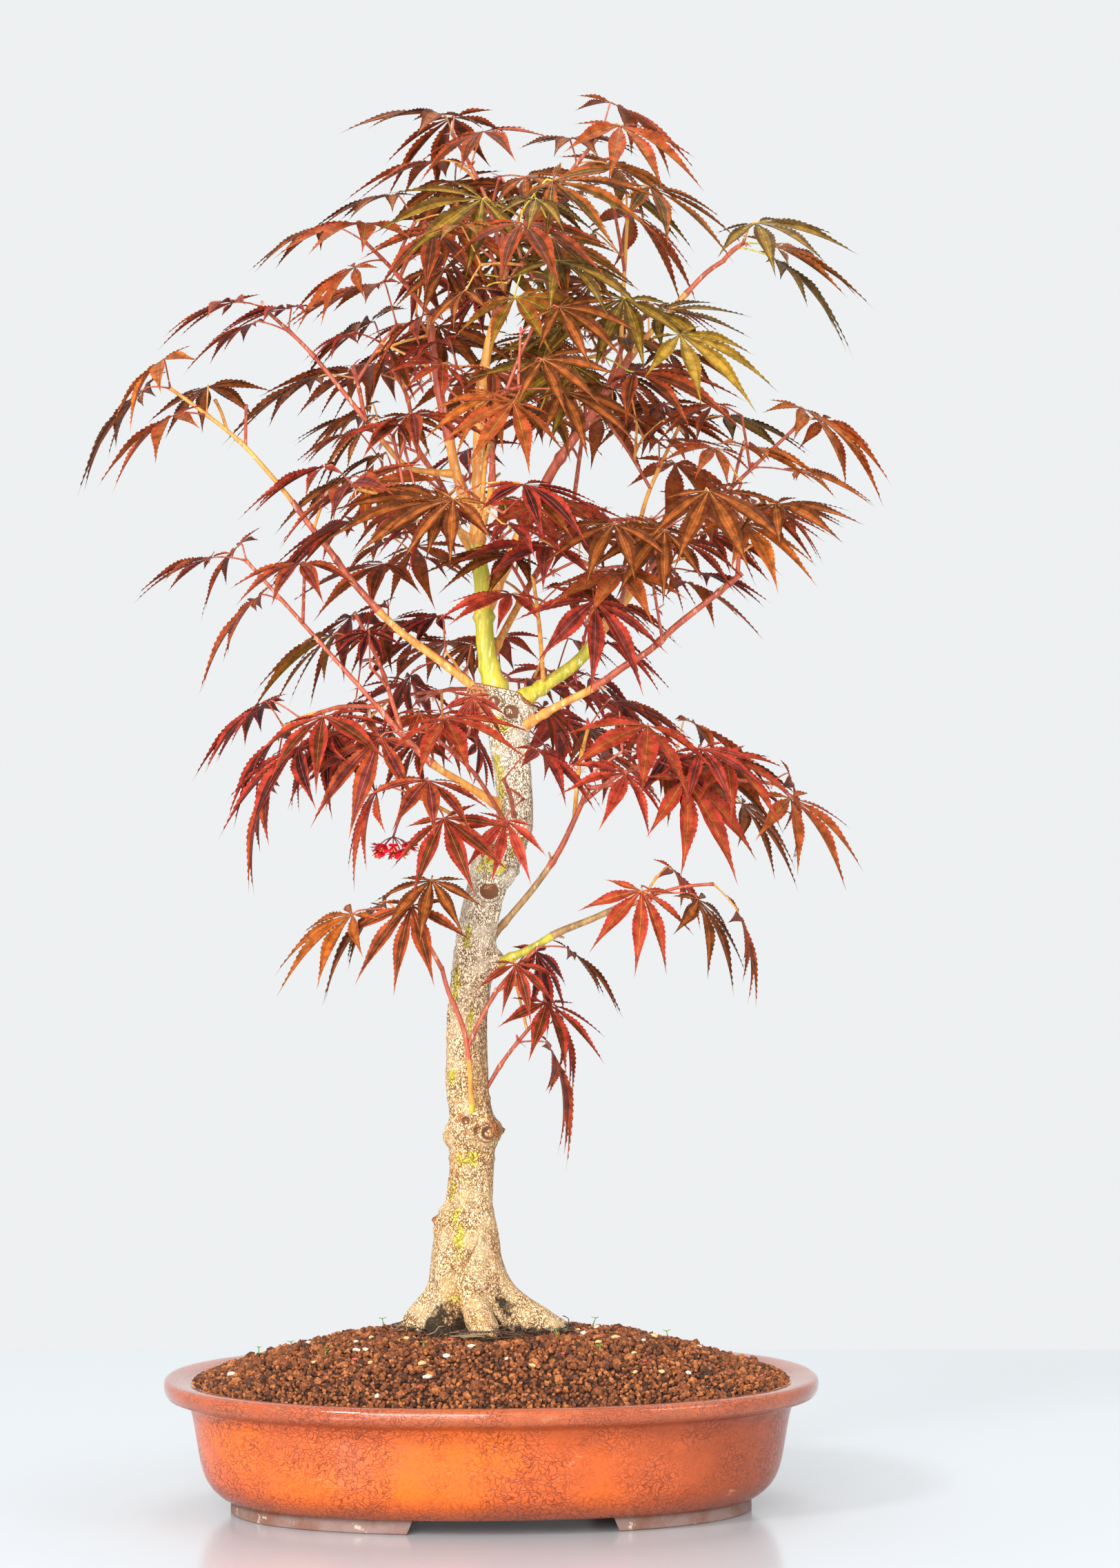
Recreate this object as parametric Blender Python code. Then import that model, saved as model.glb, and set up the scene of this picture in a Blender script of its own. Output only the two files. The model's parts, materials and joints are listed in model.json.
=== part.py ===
"""Japanese maple bonsai in an oval glazed pot, standing on the pot's two feet.

The trunk rises from a flat cut on the soil to its old cut top. Each bough is one tapering limb,
and each spray of leaves is one solid that seats on the end or the side of a limb.
X runs along the pot, Y away from the front, Z up, and the floor is at zero.
Every length is in millimetres until its mesh is made.
"""

import math
import random
from collections import namedtuple

import bmesh
import bpy
from mathutils import Matrix, Vector, noise
from mathutils.bvhtree import BVHTree

METRES = 0.001
SEAT_GAP = 0.3

# Pot
POT_HALF_LENGTH = 200.0
POT_HALF_WIDTH = 148.0
OVAL_POWER = 2.2
WIDTH_SLOPE = 1.28
POT_SIDES = 40
FOOT_HEIGHT = 9.0
FOOT_INSET = 40.5
FOOT_THICKNESS = 15.0
FOOT_GAP_HALF = 63.5
FOOT_GAP_CENTRE = 8.0
FOOT_GAP_TAPER = 6.0
DRAIN_RADIUS = 11.0
DRAIN_SIDES = 12
DRAIN_PLACES = (-80.0, 80.0)
POT_OUTSIDE = (
    (38.5, 9.0),
    (35.0, 10.5),
    (27.5, 18.0),
    (22.5, 30.0),
    (16.5, 62.0),
    (10.5, 68.5),
    (2.5, 71.0),
    (0.0, 76.5),
    (2.0, 81.5),
)
POT_INSIDE = ((15.5, 79.5), (19.0, 74.0), (31.0, 27.0), (42.0, 18.5))
FLOOR_TOP = 17.5

# Soil
SOIL_EDGE_INSET = 16.8
SOIL_EDGE_HEIGHT = 79.0
SOIL_TOP = 108.5
SOIL_FLAT_LENGTH = 60.0
SOIL_FLAT_WIDTH = 54.0
SOIL_RINGS = 6
SOIL_FALL_POWER = 1.6
SOIL_BUMP = 5.0
SOIL_BUMP_WIDTH = 33.0

# Trunk
Station = namedtuple("Station", "height x y radius")
TRUNK_LINE = (
    Station(SOIL_TOP + SEAT_GAP, -4.0, 0.0, 21.5),
    Station(130.0, -11.0, 0.0, 21.5),
    Station(150.0, -15.2, 0.0, 21.3),
    Station(170.0, -15.0, 1.0, 18.6),
    Station(188.0, -13.5, 2.0, 13.9),
    Station(231.0, -11.5, 3.0, 13.8),
    Station(256.0, -14.8, 3.0, 12.8),
    Station(300.0, -14.8, 1.0, 12.2),
    Station(340.0, -11.0, -1.0, 12.2),
    Station(377.0, -4.6, -2.0, 12.0),
    Station(398.0, 4.5, -2.0, 12.2),
    Station(415.0, 13.5, -1.0, 11.2),
    Station(450.0, 13.1, 1.0, 11.4),
    Station(480.0, 9.0, 2.0, 12.6),
    Station(500.0, 4.0, 2.0, 12.6),
)
TRUNK_SIDES = 14
TRUNK_RING_STEP = 13.0
FLARE_HEIGHT = 21.0
Root = namedtuple("Root", "angle reach spread")
ROOTS = (
    Root(-6.0, 31.0, 26.0),
    Root(-93.0, 25.0, 24.0),
    Root(-146.0, 24.0, 22.0),
    Root(176.0, 30.0, 24.0),
    Root(112.0, 24.0, 26.0),
    Root(48.0, 22.0, 24.0),
)
Knot = namedtuple("Knot", "height angle size rise spread")
KNOTS = (
    Knot(177.0, 180.0, 3.5, 9.0, 50.0),
    Knot(231.0, 0.0, 5.5, 6.5, 75.0),
    Knot(229.0, 200.0, 4.5, 6.5, 80.0),
    Knot(334.0, 4.0, 8.5, 7.0, 42.0),
    Knot(401.0, 200.0, 5.5, 11.0, 60.0),
    Knot(389.0, 10.0, 3.5, 9.0, 60.0),
    Knot(493.0, 180.0, 9.5, 9.0, 62.0),
    Knot(491.0, 0.0, 8.5, 10.0, 50.0),
)

# Boughs: the place is a height on the trunk, or a share of the way along a limb.
Limb = namedtuple("Limb", "parent place points base_radius tip_radius")
LIMB_SIDES = 6
LIMB_RING_STEP = 20.0
LIMB_WANDER = 1.3
LIMBS = {
    "leader": Limb("trunk", 488, ((-3, -1, 524), (-9, 3, 612), (-4, 10, 695), (10, 1, 771)), 6.4, 2.0),
    "bough_top_left": Limb("leader", 0.42, ((-22, 9, 634), (-38, 7, 733)), 3.4, 2.3),
    "bough_front": Limb("leader", 0.36, ((-2, -24, 624), (-3, -42, 667)), 2.3, 1.7),
    "bough_right_upper": Limb("leader", 0.22, ((37, 7, 633), (86, -6, 708)), 3.8, 2.5),
    "bough_right_top": Limb("bough_right_upper", 0.97, ((115, -8, 742), (142, -14, 764)), 1.9, 1.5),
    "bough_right_main": Limb("trunk", 488, ((55, 4, 521), (91, -2, 570)), 4.4, 3.2),
    "bough_right_outer": Limb("trunk", 474, ((79, -32, 514), (149, -45, 571)), 2.6, 1.7),
    "bough_left_low": Limb("trunk", 490, ((-70, -5, 550), (-122, -6, 616)), 2.7, 1.7),
    "bough_left_upper": Limb("bough_top_left", 0.24, ((-54, 6, 640), (-85, 2, 676)), 2.0, 1.5),
    "bough_left_mid": Limb("trunk", 424, ((-36, -14, 457), (-71, -13, 492)), 2.6, 1.8),
    "bough_right_steep": Limb("trunk", 338, ((29, 4, 383), (60, -2, 443)), 2.2, 1.6),
    "bough_right_low": Limb("trunk", 326, ((41, -15, 353), (90, -26, 372)), 2.9, 1.7),
    "bough_low_left": Limb("trunk", 226, ((-15, -25, 277), (-32, -28, 333)), 1.7, 1.4),
    "bough_back_left": Limb("leader", 0.3, ((-25, 38, 618), (-45, 70, 660)), 2.3, 1.6),
    "bough_back_right": Limb("leader", 0.11, ((23, 40, 563), (56, 72, 617)), 2.5, 1.7),
    "bough_back_low": Limb("trunk", 462, ((3, 38, 481), (-1, 68, 510)), 2.4, 1.7),
}

# Leaf sprays: a stem to the tip, opposite pairs of leaves and side shoots along it.
Spray = namedtuple("Spray", "parent place tip pairs shoots seed")
SPRAYS = {
    "leaves_top_right": Spray("leader", 0.995, (66, -22, 840), 2, 1, 101),
    "leaves_top_left": Spray("leader", 0.955, (-24, 2, 842), 2, 1, 55),
    "leaves_upper_front": Spray("leader", 0.91, (14, -84, 784), 2, 1, 398),
    "leaves_upper_back": Spray("leader", 0.865, (10, 66, 806), 2, 1, 398),
    "leaves_upper_left": Spray("bough_top_left", 0.99, (-78, -22, 772), 2, 2, 385),
    "leaves_right_upper": Spray("bough_right_upper", 0.84, (88, -76, 724), 2, 1, 233),
    "leaves_upper_right": Spray("bough_right_upper", 0.92, (84, 8, 791), 2, 1, 13),
    "leaves_right_top": Spray("bough_right_top", 0.98, (153, -17, 774), 2, 0, 391),
    "leaves_left_top": Spray("bough_left_upper", 0.98, (-140, -4, 734), 2, 0, 282),
    "leaves_left_centre": Spray("bough_left_upper", 0.86, (-84, 34, 702), 2, 1, 125),
    "leaves_left_far": Spray("bough_left_low", 0.98, (-196, -6, 684), 2, 2, 117),
    "leaves_front_centre": Spray("bough_front", 0.82, (-12, -112, 606), 2, 0, 9),
    "leaves_centre": Spray("bough_front", 0.98, (12, -122, 676), 2, 1, 215),
    "leaves_left_inner": Spray("leader", 0.37, (-84, -44, 621), 2, 1, 263),
    "leaves_left_low": Spray("bough_left_mid", 0.98, (-116, -40, 482), 3, 1, 159),
    "leaves_left_mid_outer": Spray("bough_left_mid", 0.9, (-150, 4, 580), 2, 1, 84),
    "leaves_left_mid_inner": Spray("bough_left_mid", 0.78, (-82, 36, 548), 2, 1, 262),
    "leaves_left_front_upper": Spray("trunk", 412, (-42, -74, 474), 1, 0, 382),
    "leaves_left_front_low": Spray("trunk", 400, (-54, -84, 438), 2, 0, 216),
    "leaves_trunk_front": Spray("trunk", 418, (4, -58, 446), 1, 0, 319),
    "leaves_low_left": Spray("bough_low_left", 0.98, (-58, -40, 368), 2, 0, 158),
    "leaves_low_right": Spray("trunk", 240, (28, -4, 300), 2, 0, 132),
    "leaves_low_right_upper": Spray("bough_low_left", 0.55, (27, -17, 344), 1, 0, 280),
    "leaves_right_low": Spray("bough_right_low", 0.98, (96, -38, 377), 2, 1, 14),
    "leaves_right_low_inner": Spray("bough_right_steep", 0.9, (94, -60, 458), 2, 1, 104),
    "leaves_right_low_outer": Spray("bough_right_steep", 0.98, (170, -18, 444), 3, 1, 170),
    "leaves_mid_right_back": Spray("bough_right_steep", 0.82, (62, 38, 478), 2, 0, 396),
    "leaves_right_outer": Spray("bough_right_outer", 0.98, (148, -56, 602), 2, 1, 196),
    "leaves_centre_right_front": Spray("bough_right_main", 0.82, (84, -88, 582), 2, 1, 54),
    "leaves_right_mid": Spray("bough_right_main", 0.98, (186, -8, 662), 2, 1, 369),
    "leaves_right_mid_inner": Spray("bough_right_main", 0.9, (118, 28, 665), 2, 1, 147),
    "leaves_centre_twig": Spray("bough_right_main", 0.25, (22, -56, 566), 2, 1, 95),
    "leaves_left_mid_back": Spray("trunk", 478, (-45, 55, 533), 2, 0, 290),
    "leaves_back_left_upper": Spray("bough_back_left", 0.98, (-61, 102, 712), 2, 1, 341),
    "leaves_back_left": Spray("bough_back_left", 0.88, (-72, 106, 622), 2, 1, 221),
    "leaves_back_right_upper": Spray("bough_back_right", 0.98, (67, 102, 696), 2, 1, 153),
    "leaves_back_right": Spray("bough_back_right", 0.88, (108, 104, 612), 2, 1, 248),
    "leaves_back_low_left": Spray("bough_back_low", 0.88, (-42, 108, 496), 2, 1, 184),
    "leaves_back_low_right": Spray("bough_back_low", 0.98, (50, 106, 504), 2, 1, 69),
}
STEM_RADIUS = 1.5
STEM_TIP_RADIUS = 1.1
STEM_SIDES = 3
STEM_RING_STEP = 32.0
PAIR_SPACING = 0.26
SHOOT_PLACE = 0.62
SHOOT_LENGTH = (34.0, 52.0)
SHOOT_RADIUS = 1.1
SHOOT_TIP_RADIUS = 1.0
SPRAY_REACH = 125.0
LEAF_TRIES = 14
LEAST_FORWARD = 0.1

# Leaf: seven lobes, each with its angle from the middle lobe and its share of the length.
LEAF_LENGTH = (55.0, 79.0)
LOBES = ((0.0, 1.0), (32.0, 0.95), (66.0, 0.76), (104.0, 0.42))
VALLEY_SHARE = 0.22
LEAF_THICKNESS = 1.8
LEAF_DROOP = 0.3
STALK_LENGTH = (15.0, 29.0)
STALK_RADIUS = 0.55
STALK_ELBOW = 4.0
HANGING_FALL = (24.0, 74.0)
HANGING_BELOW = 420.0
LEVEL_FALL = (0.0, 34.0)
LEVEL_ABOVE = 600.0
CLEARANCE = 0.7

# The one cluster of red flowers, hanging under a spray at the front.
FLOWER_SPRAY = "leaves_left_front_low"
FLOWER_STALK = (-13.0, 1.0, -24.0)
FLOWER_COUNT = 6
FLOWER_STEM_LENGTH = 13.0
FLOWER_RADIUS = 2.4

UP = Vector((0.0, 0.0, 1.0))
FRONT = Vector((0.0, -1.0, 0.0))

COLOURS = {
    "pot": (0.42, 0.12, 0.035),
    "soil": (0.10, 0.04, 0.02),
    "trunk": (0.42, 0.33, 0.2),
    "bough": (0.36, 0.3, 0.12),
    "leaves": (0.22, 0.07, 0.03),
}


def clear_scene():
    for obj in list(bpy.data.objects):
        bpy.data.objects.remove(obj)


def material(name):
    made = bpy.data.materials.new(name)
    made.use_nodes = True
    shader = made.node_tree.nodes["Principled BSDF"]
    shader.inputs["Base Color"].default_value = (*COLOURS[name.split("_")[0]], 1.0)
    shader.inputs["Roughness"].default_value = 0.25 if name == "pot" else 0.75
    return made


def mesh_object(name, shape):
    """An object from (points, faces), with the points in millimetres."""
    points, faces = shape
    mesh = bpy.data.meshes.new(name)
    mesh.from_pydata([Vector(point) * METRES for point in points], [], faces)
    mesh.validate()
    obj = bpy.data.objects.new(name, mesh)
    bpy.context.scene.collection.objects.link(obj)
    return obj


def combine(obj, operation, others, solver="EXACT"):
    """Applies one Boolean of the other objects to this one, and removes them."""
    helpers = bpy.data.collections.new("helpers")
    bpy.context.scene.collection.children.link(helpers)
    for other in others:
        bpy.context.scene.collection.objects.unlink(other)
        helpers.objects.link(other)
    boolean = obj.modifiers.new("combine", "BOOLEAN")
    boolean.operation = operation
    boolean.operand_type = "COLLECTION"
    boolean.collection = helpers
    boolean.solver = solver
    graph = bpy.context.evaluated_depsgraph_get()
    mesh = bpy.data.meshes.new_from_object(obj.evaluated_get(graph))
    obj.modifiers.clear()
    obj.data = mesh
    for other in others:
        bpy.data.objects.remove(other)
    bpy.data.collections.remove(helpers)


def drop_scraps(obj):
    """Keeps the largest piece of a mesh and drops any that came away from it."""
    mesh = bmesh.new()
    mesh.from_mesh(obj.data)
    left = set(mesh.verts)
    pieces = []
    while left:
        piece = {left.pop()}
        edge = list(piece)
        while edge:
            vertex = edge.pop()
            found = {link.other_vert(vertex) for link in vertex.link_edges} & left
            left -= found
            piece |= found
            edge += found
        pieces.append(piece)
    largest = max(pieces, key=len)
    loose = [vertex for vertex in mesh.verts if vertex not in largest]
    bmesh.ops.delete(mesh, geom=loose, context="VERTS")
    mesh.to_mesh(obj.data)
    mesh.free()


def finish(obj, material_name, smooth=True):
    obj.data.materials.clear()
    obj.data.materials.append(material(material_name))
    for polygon in obj.data.polygons:
        polygon.use_smooth = smooth
        polygon.material_index = 0


def loft(rings, capped=True):
    """A closed skin over rings of equal count, with a fan over each end."""
    points = [point for ring in rings for point in ring]
    count = len(rings[0])
    faces = []
    for row in range(len(rings) - 1):
        for side in range(count):
            after = (side + 1) % count
            low = row * count
            faces.append((low + side, low + after, low + count + after, low + count + side))
    if capped:
        for ring, turned in ((0, True), (len(rings) - 1, False)):
            middle = sum((Vector(point) for point in rings[ring]), Vector()) / count
            points.append(middle)
            for side in range(count):
                edge = [ring * count + side, ring * count + (side + 1) % count]
                faces.append((*(reversed(edge) if turned else edge), len(points) - 1))
    return points, faces


def oval(inset, height, sides):
    """A ring of the pot's oval, drawn in from the rim by an inset at the two ends."""
    ring = []
    for side in range(sides):
        angle = 2.0 * math.pi * side / sides
        across, along = math.sin(angle), math.cos(angle)
        x = math.copysign(abs(along) ** (2.0 / OVAL_POWER), along) * (POT_HALF_LENGTH - inset)
        y = math.copysign(abs(across) ** (2.0 / OVAL_POWER), across)
        ring.append((x, y * (POT_HALF_WIDTH - WIDTH_SLOPE * inset), height))
    return ring


def prism(low, high, taper=0.0):
    """A box between two corners, drawn in along X at its top by a taper."""
    bottom = [(low[0], low[1]), (high[0], low[1]), (high[0], high[1]), (low[0], high[1])]
    sign = (1.0, -1.0, -1.0, 1.0)
    top = [(x + taper * s, y, high[2]) for (x, y), s in zip(bottom, sign)]
    return loft([[(x, y, low[2]) for x, y in bottom], top])


def cylinder(x, y, low, high, radius, sides):
    rings = []
    for height in (low, high):
        turn = [2.0 * math.pi * side / sides for side in range(sides)]
        rings.append([(x + radius * math.cos(a), y + radius * math.sin(a), height) for a in turn])
    return loft(rings)


def make_pot():
    profile = POT_OUTSIDE + POT_INSIDE
    pot = mesh_object("pot", loft([oval(inset, height, POT_SIDES) for inset, height in profile]))
    pot.data.vertices[len(pot.data.vertices) - 1].co.z = FLOOR_TOP * METRES
    outer = [oval(FOOT_INSET, height, POT_SIDES) for height in (0.0, FOOT_HEIGHT + 3.0)]
    inner = [oval(FOOT_INSET + FOOT_THICKNESS, height, POT_SIDES) for height in (-1.0, FOOT_HEIGHT + 4.0)]
    foot = mesh_object("foot", loft(outer))
    gap_low = (FOOT_GAP_CENTRE - FOOT_GAP_HALF, -POT_HALF_WIDTH, -1.0)
    gap_high = (FOOT_GAP_CENTRE + FOOT_GAP_HALF, POT_HALF_WIDTH, FOOT_HEIGHT + 4.0)
    gap = mesh_object("gap", prism(gap_low, gap_high, FOOT_GAP_TAPER))
    combine(foot, "DIFFERENCE", [mesh_object("hollow", loft(inner)), gap])
    combine(pot, "UNION", [foot])
    drains = [
        mesh_object("drain", cylinder(x, 0.0, 5.0, FLOOR_TOP + 5.0, DRAIN_RADIUS, DRAIN_SIDES))
        for x in DRAIN_PLACES
    ]
    combine(pot, "DIFFERENCE", drains)
    finish(pot, "pot")
    return pot


def soil_height(x, y):
    """The mound's height: flat under the trunk, falling to the inner edge of the lip."""
    edge_x = POT_HALF_LENGTH - SOIL_EDGE_INSET
    edge_y = POT_HALF_WIDTH - WIDTH_SLOPE * SOIL_EDGE_INSET
    flat = math.hypot(x / SOIL_FLAT_LENGTH, y / SOIL_FLAT_WIDTH)
    if flat <= 1.0:
        return SOIL_TOP
    edge = (abs(x / edge_x) ** OVAL_POWER + abs(y / edge_y) ** OVAL_POWER) ** (1.0 / OVAL_POWER)
    share = min((flat - 1.0) / max(flat / max(edge, 1e-6) - 1.0, 1e-6), 1.0)
    bump = SOIL_BUMP * noise.noise(Vector((x, y, 0.0)) / SOIL_BUMP_WIDTH)
    return SOIL_TOP + (SOIL_EDGE_HEIGHT - SOIL_TOP) * share**SOIL_FALL_POWER + bump * share * (1.0 - share) * 3.0


def make_soil():
    rings = [oval(POT_INSIDE[-1][0] + 2.0, FLOOR_TOP + 1.6, POT_SIDES)]
    for inset, height in reversed(POT_INSIDE[1:-1]):
        rings.append(oval(inset + SEAT_GAP * 1.6, height + SEAT_GAP * 2.0, POT_SIDES))
    edge = oval(SOIL_EDGE_INSET, SOIL_EDGE_HEIGHT, POT_SIDES)
    rings.append(edge)
    for step in range(1, SOIL_RINGS + 1):
        share = step / SOIL_RINGS
        ring = []
        for x, y, _ in edge:
            scale = 1.0 / math.hypot(x / SOIL_FLAT_LENGTH, y / SOIL_FLAT_WIDTH)
            x, y = x * (1.0 + (scale - 1.0) * share), y * (1.0 + (scale - 1.0) * share)
            ring.append((x, y, soil_height(x, y)))
        rings.append(ring)
    soil = mesh_object("soil", loft(rings))
    finish(soil, "soil")
    return soil


def catmull(before, start, end, after, share):
    """A point between start and end on the smooth curve through all four."""
    square, cube = share * share, share**3
    return 0.5 * (
        2.0 * start
        + (end - before) * share
        + (2.0 * before - 5.0 * start + 4.0 * end - after) * square
        + (3.0 * start - before - 3.0 * end + after) * cube
    )


def trunk_at(height):
    """The trunk's centre and plain radius at a height."""
    line = TRUNK_LINE
    height = min(max(height, line[0].height), line[-1].height)
    row = next(i for i in range(len(line) - 1) if height <= line[i + 1].height)
    share = (height - line[row].height) / (line[row + 1].height - line[row].height)
    four = [line[min(max(row + step, 0), len(line) - 1)] for step in (-1, 0, 1, 2)]
    x, y, radius = (catmull(*(station[i] for station in four), share) for i in (1, 2, 3))
    return Vector((x, y, height)), radius


def turn_between(one, other):
    return abs((one - other + 180.0) % 360.0 - 180.0)


def trunk_radius(height, angle):
    """The trunk's radius at a height and angle, with its roots and knots."""
    _, radius = trunk_at(height)
    flare = math.exp(-(((height - TRUNK_LINE[0].height) / FLARE_HEIGHT) ** 2))
    radius += flare * max(r.reach * math.exp(-((turn_between(angle, r.angle) / r.spread) ** 2)) for r in ROOTS)
    for knot in KNOTS:
        away = ((height - knot.height) / knot.rise) ** 2
        away += (turn_between(angle, knot.angle) / knot.spread) ** 2
        radius += knot.size * math.exp(-away)
    return radius


def trunk_shape(grow=0.0):
    low, high = TRUNK_LINE[0].height, TRUNK_LINE[-1].height
    count = round((high - low) / TRUNK_RING_STEP)
    levels = [(low + (high - low) * step / count, 1.0) for step in range(count + 1)]
    levels.append((high + 2.5, 0.72))
    rings = []
    for height, scale in levels:
        middle, _ = trunk_at(height)
        ring = []
        for side in range(TRUNK_SIDES):
            angle = 360.0 * side / TRUNK_SIDES
            reach = trunk_radius(min(height, high), angle) * scale + grow
            around = math.radians(angle)
            ring.append((middle.x + reach * math.cos(around), middle.y + reach * math.sin(around), height))
        rings.append(ring)
    if grow:
        rings.append([(x, y, z + grow) for x, y, z in rings[-1]])
    return loft(rings)


def frames(path):
    """A pair of directions across the path at each of its points, turned as little as can be."""
    found = []
    across = None
    for i in range(len(path)):
        forward = (path[min(i + 1, len(path) - 1)] - path[max(i - 1, 0)]).normalized()
        if across is None:
            across = forward.cross(Vector((0.3, 1.0, 0.2))).normalized()
        across = (across - forward * across.dot(forward)).normalized()
        found.append((across, forward.cross(across)))
    return found


def tube(path, radii, sides, grow=0.0):
    """A closed tube along a path, thicker and longer by an amount to grow."""
    path = [Vector(point) for point in path]
    if grow:
        path[0] = path[0] + (path[0] - path[1]).normalized() * grow
        path[-1] = path[-1] + (path[-1] - path[-2]).normalized() * grow
    wider = grow / math.cos(math.pi / sides)
    rings = []
    for point, radius, (across, upward) in zip(path, radii, frames(path)):
        ring = []
        for side in range(sides):
            angle = 2.0 * math.pi * side / sides
            ring.append(point + (across * math.cos(angle) + upward * math.sin(angle)) * (radius + wider))
        rings.append(ring)
    return loft(rings)


def smooth_path(points, step):
    """Points along the smooth curve through the given ones, about a step apart."""
    points = [Vector(point) for point in points]
    path = [points[0]]
    for i in range(len(points) - 1):
        four = [points[min(max(i + k, 0), len(points) - 1)] for k in (-1, 0, 1, 2)]
        count = max(1, round((points[i + 1] - points[i]).length / step))
        path += [catmull(*four, k / count) for k in range(1, count + 1)]
    return path


def point_along(path, share):
    lengths = [(b - a).length for a, b in zip(path, path[1:])]
    left = share * sum(lengths)
    for start, end, length in zip(path, path[1:], lengths):
        if left <= length:
            return start.lerp(end, left / length), (end - start).normalized()
        left -= length
    return path[-1].copy(), (path[-1] - path[-2]).normalized()


def limb_path(name):
    """The limb's centre line, from inside its parent to its tip, a little crooked."""
    limb = LIMBS[name]
    rng = random.Random(name)
    start = place_on(limb.parent, limb.place)
    path = smooth_path([start, *limb.points], LIMB_RING_STEP)
    for point in path[2:-1]:
        point += Vector([rng.uniform(-LIMB_WANDER, LIMB_WANDER) for _ in range(3)])
    return path


def place_on(parent, place):
    if parent == "trunk":
        return trunk_at(place)[0]
    return point_along(limb_path(parent), place)[0]


def tapered(path, base, tip):
    lengths = [0.0]
    for start, end in zip(path, path[1:]):
        lengths.append(lengths[-1] + (end - start).length)
    return [base + (tip - base) * length / lengths[-1] for length in lengths]


def limb_shape(name, grow=0.0):
    limb = LIMBS[name]
    path = limb_path(name)
    return tube(path, tapered(path, limb.base_radius, limb.tip_radius), LIMB_SIDES, grow)


def parent_cutter(parent):
    """The parent's shape, larger all round by the gap at a seat."""
    shape = trunk_shape(SEAT_GAP) if parent == "trunk" else limb_shape(parent, SEAT_GAP)
    return mesh_object("cutter", shape)


def make_trunk():
    trunk = mesh_object("trunk", trunk_shape())
    finish(trunk, "trunk")
    return trunk


def make_limb(name):
    limb = mesh_object(name, limb_shape(name))
    combine(limb, "DIFFERENCE", [parent_cutter(LIMBS[name].parent)])
    finish(limb, "bough_" + name)
    return limb


Twig = namedtuple("Twig", "path radii")
Leaf = namedtuple("Leaf", "root base along normal length")


def stem_of(name):
    """The spray's stem, from inside its parent to its tip, with a slight arch."""
    spray = SPRAYS[name]
    rng = random.Random(f"{name} stem")
    start, tip = place_on(spray.parent, spray.place), Vector(spray.tip)
    reach = (tip - start).length
    bend = start.lerp(tip, 0.5) + UP * reach * rng.uniform(0.02, 0.07)
    bend += Vector((rng.uniform(-1, 1), rng.uniform(-1, 1), 0.0)) * reach * 0.05
    path = smooth_path([start, bend, tip], STEM_RING_STEP)
    return Twig(path, tapered(path, STEM_RADIUS, STEM_TIP_RADIUS))


def around(forward, angle):
    """A direction across a twig, at an angle about it from level."""
    level = forward.cross(UP)
    if level.length < 0.1:
        level = Vector((1.0, 0.0, 0.0))
    return Matrix.Rotation(angle, 3, forward) @ level.normalized()


def leaf_from(node, forward, angle, rng):
    """A leaf on its stalk, pointing outward with its face up. The lower it grows, the more it hangs."""
    stalk = (around(forward, angle) * 0.8 + forward * 0.5 + UP * 0.15).normalized()
    base = node + stalk * rng.uniform(*STALK_LENGTH)
    outward = Vector((base.x, base.y, 0.0)).normalized()
    level = Vector((stalk.x, stalk.y, 0.0)) * 1.2 + outward * 0.6
    level += Vector((rng.uniform(-0.5, 0.5), rng.uniform(-0.5, 0.5), 0.0))
    level_share = min(max((base.z - HANGING_BELOW) / (LEVEL_ABOVE - HANGING_BELOW), 0.0), 1.0)
    least, most = [low + (high - low) * level_share for low, high in zip(HANGING_FALL, LEVEL_FALL)]
    fall = math.radians(rng.uniform(least, most))
    along = level.normalized() * math.cos(fall) - UP * math.sin(fall)
    light = UP * 1.05 + FRONT * 0.16 + outward * 0.26
    light += Vector([rng.uniform(-0.34, 0.34) for _ in range(3)])
    normal = (light - along * light.dot(along)).normalized()
    return Leaf(node, base, along, normal, rng.uniform(*LEAF_LENGTH))


def leaf_outline(length):
    """The rim of a leaf in its own plane, round from beside the stalk to the stalk again."""
    sides = [(-angle, share) for angle, share in reversed(LOBES[1:])] + list(LOBES)
    rim = []
    for i, (angle, share) in enumerate(sides):
        lead = sides[i - 1][0] if i else -150.0
        rim.append(((angle + lead) / 2.0 if i else lead, VALLEY_SHARE * (1.0 if i else 0.5)))
        rim.append((angle, share))
    rim.append((150.0, VALLEY_SHARE * 0.5))
    return [(math.radians(angle), share * length) for angle, share in rim]


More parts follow.
